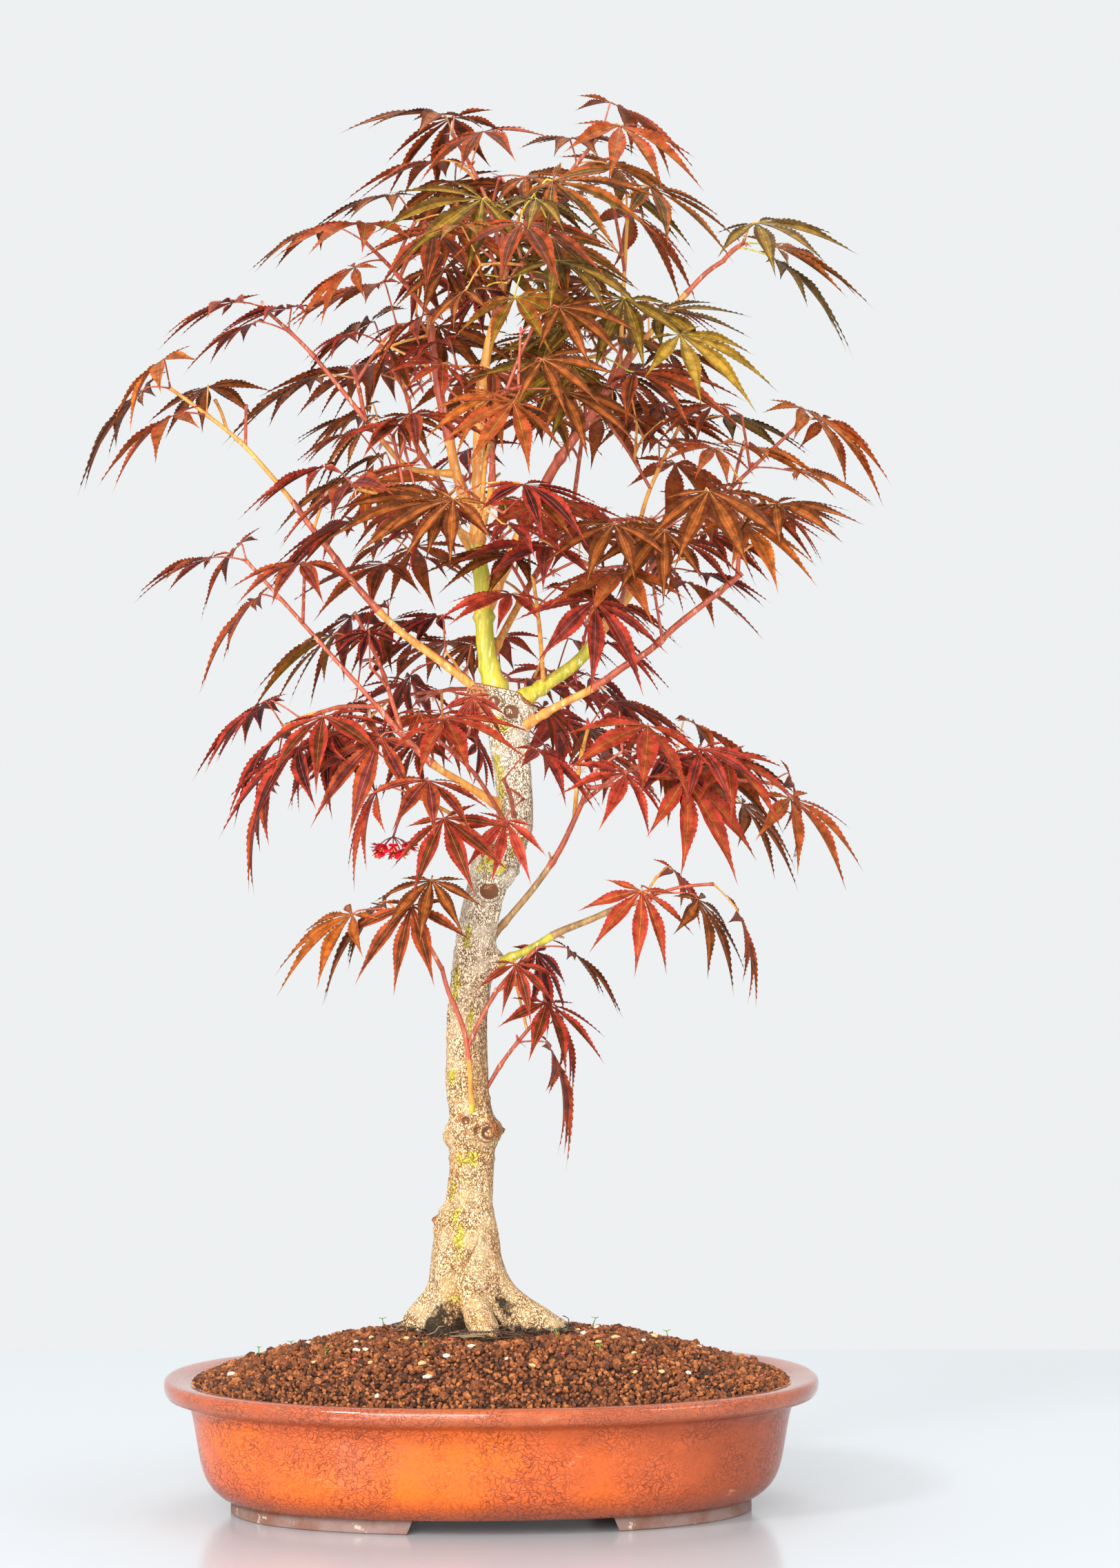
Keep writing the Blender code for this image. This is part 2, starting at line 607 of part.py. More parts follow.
def leaf_shape(leaf, grow=0.0):
    """A closed leaf: a thin seven-lobed blade, thickest in the middle, with its bent stalk."""
    side = leaf.normal.cross(leaf.along)
    middle = leaf.base + leaf.along * leaf.length * 0.06
    points = []
    for angle, reach in leaf_outline(leaf.length):
        reach += grow
        drop = LEAF_DROOP * reach * reach / leaf.length
        way = leaf.along * math.cos(angle) + side * math.sin(angle)
        points.append(middle + way * reach - leaf.normal * drop)
    half = LEAF_THICKNESS / 2.0 + grow
    top, bottom = len(points), len(points) + 1
    points += [middle + leaf.normal * half, middle - leaf.normal * half]
    faces = []
    for i in range(top - 1):
        faces += [(top, i, i + 1), (bottom, i + 1, i)]
    elbow = middle - leaf.along * STALK_ELBOW
    stalk = (elbow - leaf.root).normalized()
    rings = [[top, top - 1, bottom, 0]]
    for place, forward in ((elbow, (stalk + leaf.along).normalized()), (leaf.root, stalk)):
        across = leaf.normal.cross(forward).normalized()
        lift = forward.cross(across)
        rings.append([len(points) + i for i in range(4)])
        points += [place + way * (STALK_RADIUS + grow) for way in (lift, across, -lift, -across)]
    for near, far in zip(rings, rings[1:]):
        for i in range(4):
            after = (i + 1) % 4
            faces += [(near[i], near[after], far[after]), (near[i], far[after], far[i])]
    end = rings[-1][0]
    faces += [(end, end + 1, end + 2), (end, end + 2, end + 3)]
    return points, faces


def box_of(points):
    return [min(p[i] for p in points) for i in range(3)], [max(p[i] for p in points) for i in range(3)]


def tree_of(shape):
    points, faces = shape
    return BVHTree.FromPolygons([Vector(p) for p in points], faces), box_of(points)


def touches(shape, others):
    """Whether a shape meets any of the others, which are kept as (tree, box)."""
    tree, (low, high) = tree_of(shape)
    for other, (other_low, other_high) in others:
        if any(low[i] > other_high[i] or high[i] < other_low[i] for i in range(3)):
            continue
        if tree.overlap(other):
            return True
    return False


def grow_spray(name, stem, others):
    """The spray's twigs and leaves. A shoot or leaf that touches anything is left out."""
    spray = SPRAYS[name]
    rng = random.Random(f"{name} {spray.seed}")
    twigs, leaves = [stem], []
    turn = rng.uniform(0.0, math.pi)
    nodes = []
    for pair in range(spray.pairs):
        node, forward = point_along(stem.path, 1.0 - pair * PAIR_SPACING)
        nodes.append((node, forward, turn + pair * math.pi / 2.0))
    for shoot in range(spray.shoots):
        for _ in range(LEAF_TRIES):
            place = SHOOT_PLACE - 0.17 * shoot + rng.uniform(-0.06, 0.06)
            start, forward = point_along(stem.path, place)
            away = around(forward, rng.uniform(0.0, 2.0 * math.pi))
            heading = (away + forward * 0.45 + UP * 0.3).normalized()
            end = start + heading * rng.uniform(*SHOOT_LENGTH)
            path = [start, start.lerp(end, 0.5) + UP * 2.0, end]
            twig = Twig(path, tapered(path, SHOOT_RADIUS, SHOOT_TIP_RADIUS))
            if not touches(tube(*twig, STEM_SIDES, CLEARANCE), others):
                twigs.append(twig)
                nodes.append((end, (path[2] - path[1]).normalized(), rng.uniform(0.0, math.pi)))
                break
    kept = []
    for node, forward, angle in nodes:
        for opposite in (0.0, math.pi):
            for _ in range(LEAF_TRIES):
                leaf = leaf_from(node, forward, angle + opposite + rng.uniform(-0.5, 0.5), rng)
                guard = leaf_shape(leaf, CLEARANCE)
                blade = Leaf(leaf.root.lerp(leaf.base, 0.4), *leaf[1:])
                tip = leaf.base + leaf.along * leaf.length
                inside = (tip - Vector(spray.tip)).length < SPRAY_REACH
                inside = inside and leaf.along.dot((leaf.base - leaf.root).normalized()) > LEAST_FORWARD
                if inside and not touches(guard, others) and not touches(leaf_shape(blade), kept):
                    leaves.append(leaf)
                    kept.append(tree_of(guard))
                    break
    return twigs, leaves


def bead(middle, radius):
    """An eight-faced bead."""
    points = [middle + Vector(way) * radius for way in ((1, 0, 0), (0, 1, 0), (-1, 0, 0), (0, -1, 0))]
    points += [middle + UP * radius, middle - UP * radius]
    faces = [(i, (i + 1) % 4, 4) for i in range(4)] + [((i + 1) % 4, i, 5) for i in range(4)]
    return points, faces


def flower_cluster(stem):
    """The shapes of a hanging stalk with small flowers on stems of their own."""
    top = point_along(stem.path, 0.93)[0]
    fork = top + Vector(FLOWER_STALK)
    shapes = [tube([top, top.lerp(fork, 0.5) + Vector((-2.0, 0.0, 0.0)), fork], [0.9, 0.8, 0.9], STEM_SIDES)]
    for flower in range(FLOWER_COUNT):
        turn = 2.0 * math.pi * flower / FLOWER_COUNT
        way = Vector((math.cos(turn), math.sin(turn), -0.55 - 0.5 * (flower % 2))).normalized()
        end = fork + way * FLOWER_STEM_LENGTH
        shapes.append(tube([fork - way * 0.3, end], [0.6, 0.6], STEM_SIDES))
        shapes.append(bead(end, FLOWER_RADIUS))
    return shapes


def make_spray(name, twigs, leaves):
    spray = mesh_object(name, tube(*twigs[0], STEM_SIDES))
    pieces = [mesh_object("shoot", tube(*twig, STEM_SIDES)) for twig in twigs[1:]]
    pieces += [mesh_object("leaf", leaf_shape(leaf)) for leaf in leaves]
    if name == FLOWER_SPRAY:
        pieces += [mesh_object("flower", shape) for shape in flower_cluster(twigs[0])]
    combine(spray, "UNION", pieces, "MANIFOLD")
    combine(spray, "DIFFERENCE", [parent_cutter(SPRAYS[name].parent)], "MANIFOLD")
    drop_scraps(spray)
    finish(spray, "leaves_" + name, smooth=False)
    return spray


def shape_of(obj):
    points = [vertex.co / METRES for vertex in obj.data.vertices]
    return points, [tuple(polygon.vertices) for polygon in obj.data.polygons]


def main():
    clear_scene()
    solids = [make_pot(), make_soil(), make_trunk()]
    solids += [make_limb(name) for name in LIMBS]
    fixed = [tree_of(shape_of(solid)) for solid in solids]
    stems = {name: stem_of(name) for name in SPRAYS}
    stem_trees = {name: tree_of(tube(*stem, STEM_SIDES)) for name, stem in stems.items()}
    fixed += [tree_of(shape) for shape in flower_cluster(stems[FLOWER_SPRAY])[1:]]
    grown = {}
    for name in SPRAYS:
        others = fixed + [tree for other, tree in stem_trees.items() if other != name]
        others += [tree for trees in grown.values() for tree in trees]
        twigs, leaves = grow_spray(name, stems[name], others)
        make_spray(name, twigs, leaves)
        grown[name] = [tree_of(tube(*twig, STEM_SIDES)) for twig in twigs[1:]]
        grown[name] += [tree_of(leaf_shape(leaf)) for leaf in leaves]


main()
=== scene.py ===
"""Looks for the maple bonsai: bark, boughs, leaves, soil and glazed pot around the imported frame.

The growing rule is the one the solids were grown by, so every leaf of theirs is here again,
cut finer. It then goes on to finer twigs inside the same reach.
X runs along the pot, Y away from the front, Z up, and the floor is at zero.
Every length is in millimetres until its mesh is made.
"""

import json
import math
import random
from collections import namedtuple
from itertools import combinations, starmap

import bpy
import numpy as np
from mathutils import Matrix, Vector, noise
from mathutils.bvhtree import BVHTree

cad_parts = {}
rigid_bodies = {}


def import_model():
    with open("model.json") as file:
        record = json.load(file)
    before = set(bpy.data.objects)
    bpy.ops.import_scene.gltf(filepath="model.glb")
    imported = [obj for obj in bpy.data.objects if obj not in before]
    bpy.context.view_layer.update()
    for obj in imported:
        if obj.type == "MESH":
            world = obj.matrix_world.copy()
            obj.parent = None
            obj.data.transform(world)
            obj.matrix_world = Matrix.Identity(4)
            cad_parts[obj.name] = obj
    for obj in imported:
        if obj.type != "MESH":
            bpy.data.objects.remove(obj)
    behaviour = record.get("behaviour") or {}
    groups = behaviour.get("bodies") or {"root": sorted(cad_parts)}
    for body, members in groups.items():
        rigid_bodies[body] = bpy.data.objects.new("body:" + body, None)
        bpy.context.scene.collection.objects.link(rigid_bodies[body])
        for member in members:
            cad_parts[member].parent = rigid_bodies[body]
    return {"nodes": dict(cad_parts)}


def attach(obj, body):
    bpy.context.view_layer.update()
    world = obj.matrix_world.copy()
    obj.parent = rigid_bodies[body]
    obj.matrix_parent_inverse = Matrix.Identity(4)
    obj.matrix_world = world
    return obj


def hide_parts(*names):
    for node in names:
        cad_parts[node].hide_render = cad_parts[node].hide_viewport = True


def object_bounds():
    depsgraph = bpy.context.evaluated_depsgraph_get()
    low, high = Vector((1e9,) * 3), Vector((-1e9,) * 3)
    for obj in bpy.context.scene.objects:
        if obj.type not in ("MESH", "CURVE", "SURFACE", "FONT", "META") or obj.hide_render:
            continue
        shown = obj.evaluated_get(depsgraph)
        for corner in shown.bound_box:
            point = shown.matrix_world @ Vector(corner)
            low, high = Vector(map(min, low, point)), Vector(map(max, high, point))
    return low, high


METRES = 0.001
SEAT_GAP = 0.3
UP = Vector((0.0, 0.0, 1.0))
FRONT = Vector((0.0, -1.0, 0.0))

# Pot: the profiles are pairs of inset and height
POT_HALF_LENGTH = 200.0
POT_HALF_WIDTH = 148.0
OVAL_POWER = 2.2
WIDTH_SLOPE = 1.28
FOOT_HEIGHT = 9.0
FOOT_INSET = 40.5
FOOT_THICKNESS = 15.0
FOOT_EDGE = 0.9
FOOT_GAP_HALF = 63.5
FOOT_GAP_CENTRE = 8.0
FOOT_GAP_TAPER = 6.0
DRAIN_RADIUS = 11.0
DRAIN_PLACES = (-80.0, 80.0)
UNDERSIDE_INSETS = (98.0, 80.0, 60.0, 48.0)
POT_OUTSIDE = (
    (38.5, 9.0), (35.0, 10.5), (27.5, 18.0), (22.5, 30.0), (16.5, 62.0), (10.5, 68.5), (2.5, 71.0),
    (0.0, 76.5), (2.0, 81.5),
)
POT_INSIDE = ((15.5, 79.5), (19.0, 74.0), (31.0, 27.0), (42.0, 18.5))
FLOOR_TOP = 17.5
LIP_FOOT = 71.5

# Soil
SOIL_EDGE_INSET = 16.8
SOIL_EDGE_HEIGHT = 79.0
SOIL_TOP = 108.5
SOIL_FLAT_LENGTH = 60.0
SOIL_FLAT_WIDTH = 54.0
SOIL_FALL_POWER = 1.6
SOIL_BUMP = 5.0
SOIL_BUMP_WIDTH = 33.0

# Trunk
Station = namedtuple("Station", "height x y radius")
TRUNK_LINE = tuple(starmap(Station, (
    (SOIL_TOP + SEAT_GAP, -4, 0, 21.5), (130, -11, 0, 21.5), (150, -15.2, 0, 21.3), (170, -15, 1, 18.6),
    (188, -13.5, 2, 13.9), (231, -11.5, 3, 13.8), (256, -14.8, 3, 12.8), (300, -14.8, 1, 12.2),
    (340, -11, -1, 12.2), (377, -4.6, -2, 12), (398, 4.5, -2, 12.2), (415, 13.5, -1, 11.2),
    (450, 13.1, 1, 11.4), (480, 9, 2, 12.6), (500, 4, 2, 12.6),
)))
FLARE_HEIGHT = 21.0
Root = namedtuple("Root", "angle reach spread")
ROOTS = tuple(starmap(Root, (
    (-6, 31, 26), (-93, 25, 24), (-146, 24, 22), (176, 30, 24), (112, 24, 26), (48, 22, 24),
)))
Knot = namedtuple("Knot", "height angle rise spread size", defaults=[1.0])
KNOTS = tuple(starmap(Knot, (
    (177, 180, 9, 50, 3.5), (231, 0, 6.5, 75, 5.5), (229, 200, 6.5, 80, 4.5), (334, 4, 7, 42, 8.5),
    (401, 200, 11, 60, 5.5), (389, 10, 9, 60, 3.5), (493, 180, 9, 62, 9.5), (491, 0, 10, 50, 8.5),
)))

# Boughs: the place is a height on the trunk, or a share of the way along a limb
Limb = namedtuple("Limb", "parent place points base_radius tip_radius")
LIMB_RING_STEP = 20.0
LIMB_WANDER = 1.3
LIMBS = {
    "leader": Limb("trunk", 488, ((-3, -1, 524), (-9, 3, 612), (-4, 10, 695), (10, 1, 771)), 6.4, 2.0),
    "bough_top_left": Limb("leader", 0.42, ((-22, 9, 634), (-38, 7, 733)), 3.4, 2.3),
    "bough_front": Limb("leader", 0.36, ((-2, -24, 624), (-3, -42, 667)), 2.3, 1.7),
    "bough_right_upper": Limb("leader", 0.22, ((37, 7, 633), (86, -6, 708)), 3.8, 2.5),
    "bough_right_top": Limb("bough_right_upper", 0.97, ((115, -8, 742), (142, -14, 764)), 1.9, 1.5),
    "bough_right_main": Limb("trunk", 488, ((55, 4, 521), (91, -2, 570)), 4.4, 3.2),
    "bough_right_outer": Limb("trunk", 474, ((79, -32, 514), (149, -45, 571)), 2.6, 1.7),
    "bough_left_low": Limb("trunk", 490, ((-70, -5, 550), (-122, -6, 616)), 2.7, 1.7),
    "bough_left_upper": Limb("bough_top_left", 0.24, ((-54, 6, 640), (-85, 2, 676)), 2.0, 1.5),
    "bough_left_mid": Limb("trunk", 424, ((-36, -14, 457), (-71, -13, 492)), 2.6, 1.8),
    "bough_right_steep": Limb("trunk", 338, ((29, 4, 383), (60, -2, 443)), 2.2, 1.6),
    "bough_right_low": Limb("trunk", 326, ((41, -15, 353), (90, -26, 372)), 2.9, 1.7),
    "bough_low_left": Limb("trunk", 226, ((-15, -25, 277), (-32, -28, 333)), 1.7, 1.4),
    "bough_back_left": Limb("leader", 0.3, ((-25, 38, 618), (-45, 70, 660)), 2.3, 1.6),
    "bough_back_right": Limb("leader", 0.11, ((23, 40, 563), (56, 72, 617)), 2.5, 1.7),
    "bough_back_low": Limb("trunk", 462, ((3, 38, 481), (-1, 68, 510)), 2.4, 1.7),
}

# Leaf sprays: a stem to the tip, with opposite pairs of leaves and side shoots along it
Spray = namedtuple("Spray", "parent place tip pairs shoots seed")
SPRAYS = {
    "leaves_top_right": Spray("leader", 0.995, (66, -22, 840), 2, 1, 101),
    "leaves_top_left": Spray("leader", 0.955, (-24, 2, 842), 2, 1, 55),
    "leaves_upper_front": Spray("leader", 0.91, (14, -84, 784), 2, 1, 398),
    "leaves_upper_back": Spray("leader", 0.865, (10, 66, 806), 2, 1, 398),
    "leaves_upper_left": Spray("bough_top_left", 0.99, (-78, -22, 772), 2, 2, 385),
    "leaves_right_upper": Spray("bough_right_upper", 0.84, (88, -76, 724), 2, 1, 233),
    "leaves_upper_right": Spray("bough_right_upper", 0.92, (84, 8, 791), 2, 1, 13),
    "leaves_right_top": Spray("bough_right_top", 0.98, (153, -17, 774), 2, 0, 391),
    "leaves_left_top": Spray("bough_left_upper", 0.98, (-140, -4, 734), 2, 0, 282),
    "leaves_left_centre": Spray("bough_left_upper", 0.86, (-84, 34, 702), 2, 1, 125),
    "leaves_left_far": Spray("bough_left_low", 0.98, (-196, -6, 684), 2, 2, 117),
    "leaves_front_centre": Spray("bough_front", 0.82, (-12, -112, 606), 2, 0, 9),
    "leaves_centre": Spray("bough_front", 0.98, (12, -122, 676), 2, 1, 215),
    "leaves_left_inner": Spray("leader", 0.37, (-84, -44, 621), 2, 1, 263),
    "leaves_left_low": Spray("bough_left_mid", 0.98, (-116, -40, 482), 3, 1, 159),
    "leaves_left_mid_outer": Spray("bough_left_mid", 0.9, (-150, 4, 580), 2, 1, 84),
    "leaves_left_mid_inner": Spray("bough_left_mid", 0.78, (-82, 36, 548), 2, 1, 262),
    "leaves_left_front_upper": Spray("trunk", 412, (-42, -74, 474), 1, 0, 382),
    "leaves_left_front_low": Spray("trunk", 400, (-54, -84, 438), 2, 0, 216),
    "leaves_trunk_front": Spray("trunk", 418, (4, -58, 446), 1, 0, 319),
    "leaves_low_left": Spray("bough_low_left", 0.98, (-58, -40, 368), 2, 0, 158),
    "leaves_low_right": Spray("trunk", 240, (28, -4, 300), 2, 0, 132),
    "leaves_low_right_upper": Spray("bough_low_left", 0.55, (27, -17, 344), 1, 0, 280),
    "leaves_right_low": Spray("bough_right_low", 0.98, (96, -38, 377), 2, 1, 14),
    "leaves_right_low_inner": Spray("bough_right_steep", 0.9, (94, -60, 458), 2, 1, 104),
    "leaves_right_low_outer": Spray("bough_right_steep", 0.98, (170, -18, 444), 3, 1, 170),
    "leaves_mid_right_back": Spray("bough_right_steep", 0.82, (62, 38, 478), 2, 0, 396),
    "leaves_right_outer": Spray("bough_right_outer", 0.98, (148, -56, 602), 2, 1, 196),
    "leaves_centre_right_front": Spray("bough_right_main", 0.82, (84, -88, 582), 2, 1, 54),
    "leaves_right_mid": Spray("bough_right_main", 0.98, (186, -8, 662), 2, 1, 369),
    "leaves_right_mid_inner": Spray("bough_right_main", 0.9, (118, 28, 665), 2, 1, 147),
    "leaves_centre_twig": Spray("bough_right_main", 0.25, (22, -56, 566), 2, 1, 95),
    "leaves_left_mid_back": Spray("trunk", 478, (-45, 55, 533), 2, 0, 290),
    "leaves_back_left_upper": Spray("bough_back_left", 0.98, (-61, 102, 712), 2, 1, 341),
    "leaves_back_left": Spray("bough_back_left", 0.88, (-72, 106, 622), 2, 1, 221),
    "leaves_back_right_upper": Spray("bough_back_right", 0.98, (67, 102, 696), 2, 1, 153),
    "leaves_back_right": Spray("bough_back_right", 0.88, (108, 104, 612), 2, 1, 248),
    "leaves_back_low_left": Spray("bough_back_low", 0.88, (-42, 108, 496), 2, 1, 184),
    "leaves_back_low_right": Spray("bough_back_low", 0.98, (50, 106, 504), 2, 1, 69),
}
STEM_RADIUS = 1.5
STEM_TIP_RADIUS = 1.1
STEM_SIDES = 3
STEM_RING_STEP = 32.0
PAIR_SPACING = 0.26
SHOOT_PLACE = 0.62
SHOOT_LENGTH = (34.0, 52.0)
SHOOT_RADIUS = 1.1
SHOOT_TIP_RADIUS = 1.0
SPRAY_REACH = 125.0
LEAF_TRIES = 14
LEAST_FORWARD = 0.1
OPPOSITE = (0.0, math.pi)

# Leaf: seven lobes, each with its angle from the middle lobe and its share of the length
LEAF_LENGTH = (55.0, 79.0)
LOBES = ((0.0, 1.0), (32.0, 0.95), (66.0, 0.76), (104.0, 0.42))
ALL_LOBES = [(-angle, share) for angle, share in LOBES[:0:-1]] + list(LOBES)
VALLEY_SHARE = 0.22
LEAF_MIDDLE = 0.06
LEAF_THICKNESS = 1.8
LEAF_DROOP = 0.3
STALK_LENGTH = (15.0, 29.0)
STALK_RADIUS = 0.55
STALK_ELBOW = 4.0
HANGING_FALL = (24.0, 74.0)
HANGING_BELOW = 420.0
LEVEL_FALL = (0.0, 34.0)
LEVEL_ABOVE = 600.0
CLEARANCE = 0.7

# The one cluster of red flowers, hanging under a spray at the front
FLOWER_SPRAY = "leaves_left_front_low"
FLOWER_PLACE = 0.93
FLOWER_STALK = (-13.0, 1.0, -24.0)
FLOWER_COUNT = 6
FLOWER_STEM_LENGTH = 13.0
FLOWER_RADIUS = 2.4

# Finish of the pot
FINE_POT_SIDES = 144
PROFILE_STEP = 1.8
DRAIN_SIDES = 28
FOOT_STEPS = 48
GLAZE_ORANGE = (0.88, 0.160, 0.012)
GLAZE_RED = (0.38, 0.070, 0.018)
GLAZE_BLUSH = (0.74, 0.135, 0.034)
GLAZE_BROWN = (0.32, 0.060, 0.016)
RIM_LIGHT = (0.84, 0.215, 0.058)
RIM_DARK = (0.30, 0.070, 0.030)
# Pale orange for patches of painted highlight on the glaze
GLAZE_PAINTED_HIGHLIGHT = (0.95, 0.50, 0.22)
GLAZE_CRACK = (0.18, 0.026, 0.006)
FOOT_GREY = (0.26, 0.165, 0.14)
FOOT_BROWN = (0.20, 0.075, 0.04)
FOOT_PALE = (0.62, 0.48, 0.34)

# Finish of the soil: each clay's light and dark colour
SOIL_SIDES = 72
SOIL_SKIN_RINGS = 24
SOIL_SINK = 1.5
CLAYS = {
    "brown": ((0.33, 0.092, 0.021), (0.090, 0.025, 0.007)),
    "dark": ((0.11, 0.032, 0.010), (0.028, 0.009, 0.004)),
    "orange": ((0.60, 0.200, 0.052), (0.20, 0.055, 0.014)),
}
CLAY_SHARES = (0.50, 0.26, 0.24)
GRAIN_PITCH = 2.7
GRAIN_RADIUS = (0.95, 1.85)
LUMP_PITCH = 15.0
LUMP_RADIUS = (2.3, 3.6)
LITTER_REACH = (176.0, 121.0)
GRIT_COUNT = 70
SPROUT_COUNT = 15
THREAD_COUNT = 90
GRIT_COLOURS = {
    "white_grit": (0.78, 0.70, 0.56),
    "yellow_grit": (0.78, 0.50, 0.20),
    "shed_scale": (0.50, 0.09, 0.06),
}
SPROUT_GREEN = (0.13, 0.36, 0.04)
THREAD_COLOURS = ((0.05, 0.028, 0.018), (0.30, 0.20, 0.11), (0.10, 0.05, 0.03))

# Finish of the trunk
BARK_SIDES = 132
BARK_RING_STEP = 1.5
TOP_SLANT = -0.22
TOP_EDGE = ((1.4, 0.95), (2.4, 0.86), (2.6, 0.7), (2.0, 0.5), (1.8, 0.25))
# Pale bark laid on as painted light: higher up the trunk, and in fine highlight flecks
BARK_PALE_PAINTED_LIGHT = (0.98, 0.90, 0.72)
BARK_CREAM = (0.81, 0.57, 0.31)
BARK_TAN = (0.72, 0.41, 0.165)
BARK_BROWN = (0.17, 0.060, 0.015)
BARK_GREEN = (0.60, 0.50, 0.045)
BARK_RUST = (0.58, 0.21, 0.075)
BARK_SCAR = (0.17, 0.060, 0.022)
# Near-black for the soil line and for painted shade in the hollows between the roots
BARK_DIRT_AND_SHADE = (0.020, 0.011, 0.006)
BARK_MARKS = ("green", "scar_and_shade", "dirt_and_shade")
BARK_RINGS = (214.0, 222.5, 251.0, 328.0, 341.0, 388.0, 404.0, 478.0)
Groove = namedtuple("Groove", "angle spread depth")
ROOT_GROOVES = tuple(starmap(Groove, (
    (-34, 4, 3), (-68, 7, 8), (-94, 3, 2.5), (-120, 8, 8), (-141, 8, 8.5), (-172, 5, 4), (145, 8, 5),
    (84, 9, 6), (18, 7, 5),
)))
CREASE_HEIGHT = 149.0
CREASE_ANGLE = -98.0
CREASE_SPREAD = 27.0
CREASE_SLOPE = 0.62
Stub = namedtuple("Stub", "height angle radius length heart")
STUB_PROFILE = ((-1.0, 1.35), (0.6, 1.15), (1.0, 1.0), (0.85, 0.78), (0.1, 0.62), (0.0, 0.3))
STUB_SIDES = 14
STUB_HEARTS = {"dark": BARK_SCAR, "pale": BARK_TAN, "green": BARK_GREEN}
STUBS = tuple(starmap(Stub, (
    (237, -107, 2.5, 1.3, "dark"), (231, -84, 2.2, 1.4, "dark"), (229, -62, 4.4, 1, "dark"),
    (215.5, -124, 2.6, 0.5, "pale"), (486, -76, 4.4, 1.6, "dark"), (492, -108, 3.6, 1.8, "dark"),
    (305, 60, 3.4, 1.2, "dark"), (377, -80, 5.2, 1, "dark"), (396, -113, 3.2, 0.4, "green"),
    (392, -88, 4.6, 0.4, "green"),
)))
# Dark marks in the hollows between the roots at the foot: painted shade.
ROOT_HOLLOW_SHADE = tuple(starmap(Knot, (
    (112, -120, 15, 12), (112, -142, 16, 13), (111, -68, 15, 8), (126, -46, 16, 26, 0.62),
    (122, -132, 13, 34, 0.62), (114, 84, 16, 14, 0.9), (114, 145, 14, 12, 0.9), (114, 18, 12, 10, 0.8),
)))
SCARS = tuple(starmap(Knot, (
    (233, -38, 8, 24), (377, -82, 8, 28), (494, -150, 11, 50), (497, -10, 7, 34), (402, -118, 7, 40),
    (334, -8, 6, 26), (178, 182, 7, 12), (240, -120, 4, 13), (300, 120, 6, 22),
)))
GREEN_MARKS = tuple(starmap(Knot, (
    (480, -108, 7, 40), (446, -142, 26, 24), (420, -150, 14, 22), (405, -60, 7, 26), (394, -122, 6, 34),
    (352, -120, 12, 18), (320, -140, 20, 20), (300, -84, 10, 12), (264, -140, 8, 18), (215, -106, 5.5, 42),
    (196, -150, 9, 16), (168, -106, 14, 13), (180, -122, 8, 12), (132, -118, 7, 20, 0.6), (440, 60, 22, 24),
    (330, 95, 18, 30), (210, 70, 16, 26),
)))

# Finish of the boughs: each bark's two colours and its flecks, and the order of barks from foot to tip
BOUGH_SIDES = 14
TWIG_SIDES = 7
FINE_STEP = 4.0
NODE_SPACING = (30.0, 50.0)
STUB_SHARE = 0.3
YOUNG_BARKS = {
    "green": ((0.70, 0.54, 0.045), (0.40, 0.38, 0.030), (0.96, 0.86, 0.40)),
    "orange": ((0.86, 0.40, 0.075), (0.62, 0.22, 0.045), (0.94, 0.70, 0.36)),
    "tan": ((0.50, 0.28, 0.10), (0.30, 0.15, 0.055), (0.70, 0.50, 0.26)),
    "red": ((0.56, 0.115, 0.050), (0.36, 0.060, 0.030), (0.82, 0.42, 0.26)),
    "dark": ((0.13, 0.075, 0.045), (0.07, 0.04, 0.03), (0.30, 0.20, 0.12)),
}
BOUGH_BARKS = {
    "leader": ((0.42, 0.8), ("green", "orange", "red")),
    "bough_right_main": ((0.62,), ("green", "orange")),
    "bough_right_upper": ((0.45,), ("orange", "red")),
    "bough_right_low": ((0.4,), ("green", "tan")),
    "bough_right_steep": ((0.75,), ("tan", "red")),
    "bough_right_outer": ((0.35,), ("orange", "red")),
    "bough_left_low": ((0.6,), ("orange", "red")),
    "bough_back_low": ((0.8,), ("dark", "red")),
    "bough_low_left": ((0.2, 0.62), ("green", "orange", "red")),
    "other": ((0.5,), ("orange", "red")),
}

# Finish of the leaves: the lobe's outline as places and widths, then its relief.
# Each tint has its sets of inner blade, margin and rib.
BLADE_PLACES = (0.0, 0.12, 0.26, 0.42, 0.55, 0.68, 0.79, 0.9, 1.0)
BLADE_WIDTHS = (0.14, 0.3, 0.66, 1.0, 0.9, 0.54, 0.25, 0.09, 0.0)
HALF_WIDTH = 0.088
TEETH = 14
TOOTHED = (0.2, 0.9)
TOOTH_DEPTH = 0.011
PLEAT = 0.35
RIB_WIDTH = 0.24
RIB_RISE = 0.25
LOBE_ROLL = 0.3
LOBE_CURL = 0.06
LOBE_SPREAD = 4.0
LEAF_FOLD = (0.2, 0.6)
BLADE_COLOURS = {
    "plum": (0.190, 0.034, 0.026),
    "plum_dark": (0.080, 0.020, 0.018),
    "bronze": (0.370, 0.092, 0.017),
    "bronze_dark": (0.150, 0.040, 0.012),
    "brick": (0.420, 0.070, 0.020),
    "crimson": (0.440, 0.046, 0.024),
    "scarlet": (0.620, 0.080, 0.040),
    "copper": (0.560, 0.130, 0.018),
    "olive": (0.285, 0.145, 0.014),
    "olive_dark": (0.125, 0.062, 0.012),
    "gold": (0.450, 0.245, 0.028),
    "rib": (0.600, 0.240, 0.085),
    "rib_red": (0.560, 0.130, 0.080),
    "rib_green": (0.560, 0.420, 0.080),
}
